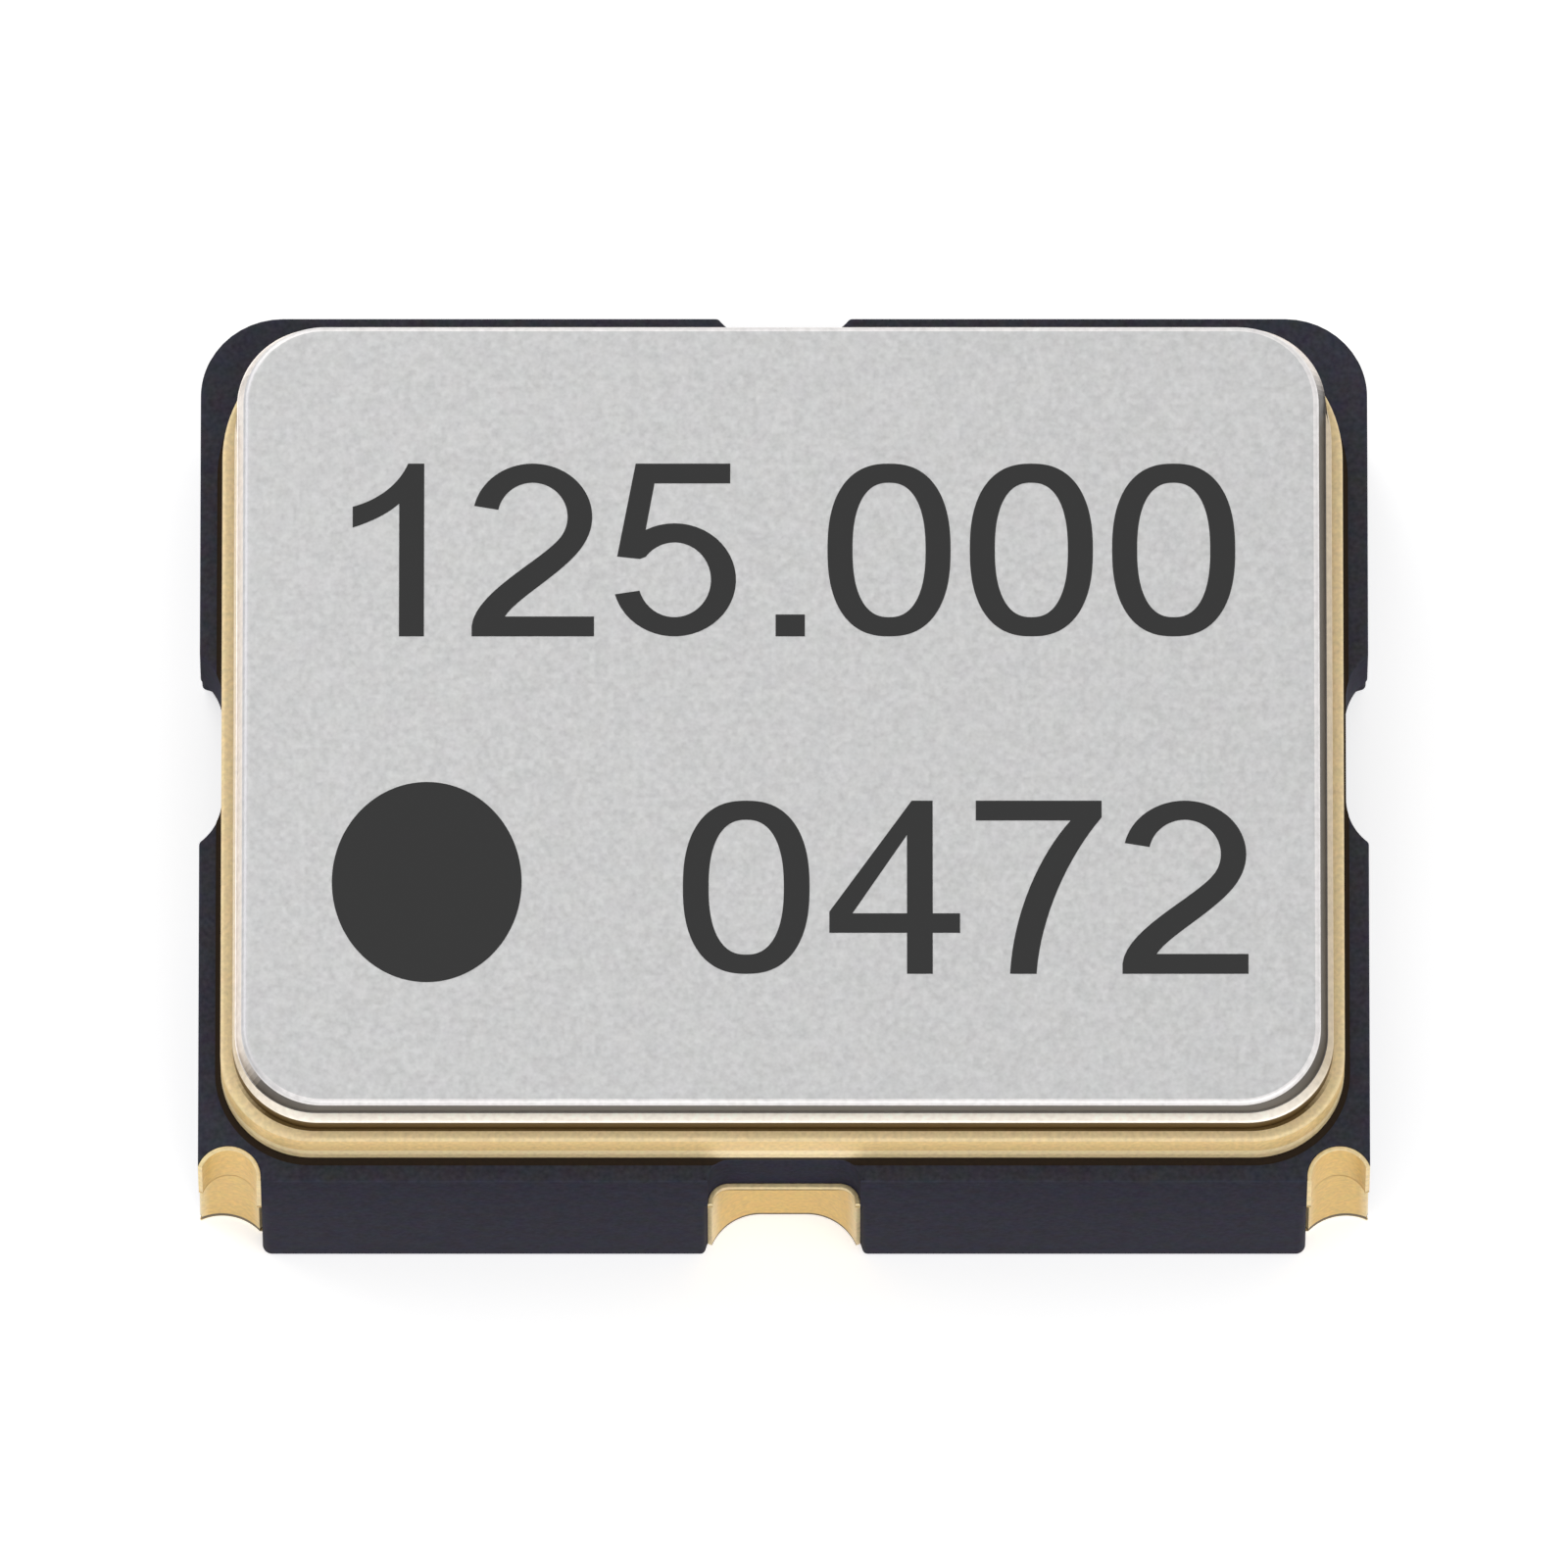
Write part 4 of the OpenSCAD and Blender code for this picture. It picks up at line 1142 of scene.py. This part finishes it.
class OSCILLATOR_OT_marks(Operator):
    """Mark the lid with plain numbers and the dot of terminal 1"""
    bl_idname = "oscillator.marks"
    bl_label = "Lid marks"

    def execute(self, context):
        s = context.scene.oscillator
        m, z, ink = s.marks, LID_HIGH.z, mark_finish(s)
        dot = oval(m.dot, m.dot_size, 0, 360, steps=120)[:-1]
        piece("first_row", numbers(m.first, m.first_box, z, m.thickness), ink)
        piece("second_row", numbers(m.second, m.second_box, z, m.thickness), ink)
        piece("terminal_dot", plate([dot], z, z + m.thickness), ink)
        return {"FINISHED"}


# ---- the parts inside, which keep their frame meshes ----

class OSCILLATOR_OT_inside(Operator):
    """Give the chip, its wires and the crystal their finishes"""
    bl_idname = "oscillator.inside"
    bl_label = "Inside finishes"

    def execute(self, context):
        s = context.scene.oscillator
        n = s.inside
        looks = {
            "silicon": ("silicon", n.silicon,
                        dict(contrast=0.1, metallic=0.5, roughness=0.15, spread=0.03)),
            "die_attach": ("silver_glue", n.glue, dict(contrast=0.5, metallic=0.4, roughness=0.6)),
            "bond_metal": ("bond_aluminium", n.bond_metal,
                           dict(contrast=0.15, metallic=1.0, roughness=0.35)),
            "bond_wire": ("gold_wire", n.wire, dict(contrast=0.1, metallic=1.0, roughness=0.25)),
            "quartz": ("lapped_quartz", n.quartz, dict(contrast=0.1, roughness=0.45, alpha=0.5)),
            "electrode": ("silver_film", n.electrode,
                          dict(contrast=0.12, metallic=1.0, roughness=0.3)),
        }
        made = {"gold_plating": gold_finish(s)}
        for slot, (name, colour, look) in looks.items():
            made[slot] = finish(s, name, [colour], **look)
        for row in frame["record"]["subparts"]:
            node = frame["nodes"][row["node"]]
            if row["material_slot"] in made and not node.hide_render:
                node.data.materials.clear()
                node.data.materials.append(made[row["material_slot"]])
        return {"FINISHED"}


# ---- stage ----

LAMP_AWAY = 40 * MM        # from the aim to every lamp
SENSOR = 36.0              # width of the camera's sensor, in millimetres
FLOOR_REACH = 0.5          # from the middle to the floor's edges
FLOOR_DROP = 2e-7          # from the solder pads down to the floor


def looking(azimuth, elevation, distance, aim):
    """A place on a sphere round the aim and the turn that looks back at it: azimuth from the front
    towards the right, elevation from the horizon up."""
    flat_part = math.cos(elevation)
    place = (distance * math.sin(azimuth) * flat_part, -distance * math.cos(azimuth) * flat_part,
             aim + distance * math.sin(elevation))
    return place, (math.pi / 2 - elevation, 0.0, azimuth)


def softbox(name, azimuth, elevation, strength, across, aim):
    """A square lamp whose power gives a face turned to it a brightness of its strength: power is pi
    times pi times the distance squared times the strength."""
    lamp = bpy.data.lights.new(name, "AREA")
    lamp.shape, lamp.size = "SQUARE", across
    lamp.energy = math.pi ** 2 * LAMP_AWAY ** 2 * strength
    box = bpy.data.objects.new(name, lamp)
    box.location, box.rotation_euler = looking(math.radians(azimuth), math.radians(elevation),
                                               LAMP_AWAY, aim)
    box.visible_camera = False
    bpy.context.scene.collection.objects.link(box)


def seen(g, path):
    """One where a ray comes from the camera, off a glossy surface or through a clear one."""
    either = g.most(path.outputs["Is Camera Ray"], path.outputs["Is Glossy Ray"])
    return g.most(either, path.outputs["Is Transmission Ray"])


def floor_finish(t):
    """A pale floor that keeps shadows. It is lifted for the camera and in reflections, and lets light
    and views through from below."""
    material = bpy.data.materials.new("pale_floor")
    g = Graph(material)
    path, side = g.add("LightPath"), g.add("NewGeometry")
    lift = g.add("Math", {0: seen(g, path), 1: t.floor_lift}, operation="MULTIPLY")
    through = g.most(side.outputs["Backfacing"], path.outputs["Is Shadow Ray"])
    matt = g.add("BsdfDiffuse", {"Color": (*t.floor, 1.0)})
    glow = g.add("Emission", {"Color": (1, 1, 1, 1), "Strength": lift.outputs[0]})
    lit = g.add("AddShader", {0: matt.outputs[0], 1: glow.outputs[0]})
    clear = g.add("BsdfTransparent")
    both = g.add("MixShader", {0: through, 1: lit.outputs[0], 2: clear.outputs[0]})
    g.add("OutputMaterial", {"Surface": both.outputs[0]})
    return material


def surroundings(t):
    """Plain white to the camera and in reflections, and dimmer for matt surfaces."""
    world = bpy.data.worlds.new("studio")
    g = Graph(world)
    strength = g.add("MapRange", {"Value": seen(g, g.add("LightPath")), "To Min": t.world,
                                  "To Max": 1.0})
    back = g.add("Background", {"Color": (1, 1, 1, 1), "Strength": strength.outputs["Result"]})
    g.add("OutputWorld", {"Surface": back.outputs["Background"]})
    return world


class OSCILLATOR_OT_stage(Operator):
    """Set up the floor, the surroundings, the lamps and the camera"""
    bl_idname = "oscillator.stage"
    bl_label = "Studio"

    def execute(self, context):
        scene, t = context.scene, context.scene.oscillator.stage
        mesh = bpy.data.meshes.new("floor")
        corners = [(x * FLOOR_REACH, y * FLOOR_REACH, -FLOOR_DROP) for x, y in SIGNS.values()]
        mesh.from_pydata(corners, [], [(0, 1, 2, 3)])
        mesh.materials.append(floor_finish(t))
        floor = bpy.data.objects.new("floor", mesh)
        scene.collection.objects.link(floor)

        scene.world = surroundings(t)
        softbox("key", -135, 40, t.key, 36 * MM, t.aim)
        softbox("fill", 30, 45, t.fill, 40 * MM, t.aim)
        softbox("under_key", 150, -60, t.under, 40 * MM, t.aim)
        softbox("under_fill", -30, -70, t.under / 2, 40 * MM, t.aim)

        camera = bpy.data.cameras.new("camera")
        camera.lens, camera.sensor_width = t.lens, SENSOR
        distance = t.width * t.lens / SENSOR
        camera.clip_start, camera.clip_end = distance / 10, distance * 10
        view = bpy.data.objects.new("camera", camera)
        view.location, view.rotation_euler = looking(t.azimuth, t.elevation, distance, t.aim)
        scene.collection.objects.link(view)
        scene.camera = view
        scene.view_settings.view_transform = "Standard"
        return {"FINISHED"}


class OSCILLATOR_PT_panel(Panel):
    """The steps that build the oscillator"""
    bl_idname = "OSCILLATOR_PT_panel"
    bl_label = "Crystal oscillator"
    bl_space_type = "VIEW_3D"
    bl_region_type = "UI"
    bl_category = "Oscillator"

    def draw(self, context):
        for operator in OPERATORS:
            self.layout.operator(operator.bl_idname)


OPERATORS = (OSCILLATOR_OT_ceramic, OSCILLATOR_OT_terminals, OSCILLATOR_OT_front_plating,
             OSCILLATOR_OT_ring, OSCILLATOR_OT_lid, OSCILLATOR_OT_marks, OSCILLATOR_OT_inside,
             OSCILLATOR_OT_stage)
GROUPS = (CeramicSettings, PlatingSettings, RingSettings, LidSettings, MarkSettings, InsideSettings,
          FinishSettings, StageSettings, OscillatorSettings)
CLASSES = GROUPS + OPERATORS + (OSCILLATOR_PT_panel,)


def register():
    for cls in CLASSES:
        bpy.utils.register_class(cls)
    bpy.types.Scene.oscillator = PointerProperty(type=OscillatorSettings)


def unregister():
    del bpy.types.Scene.oscillator
    for cls in reversed(CLASSES):
        bpy.utils.unregister_class(cls)


def main():
    register()
    for step in ("ceramic", "terminals", "front_plating", "ring", "lid", "marks", "inside", "stage"):
        getattr(bpy.ops.oscillator, step)()


if __name__ == "__main__":
    main()
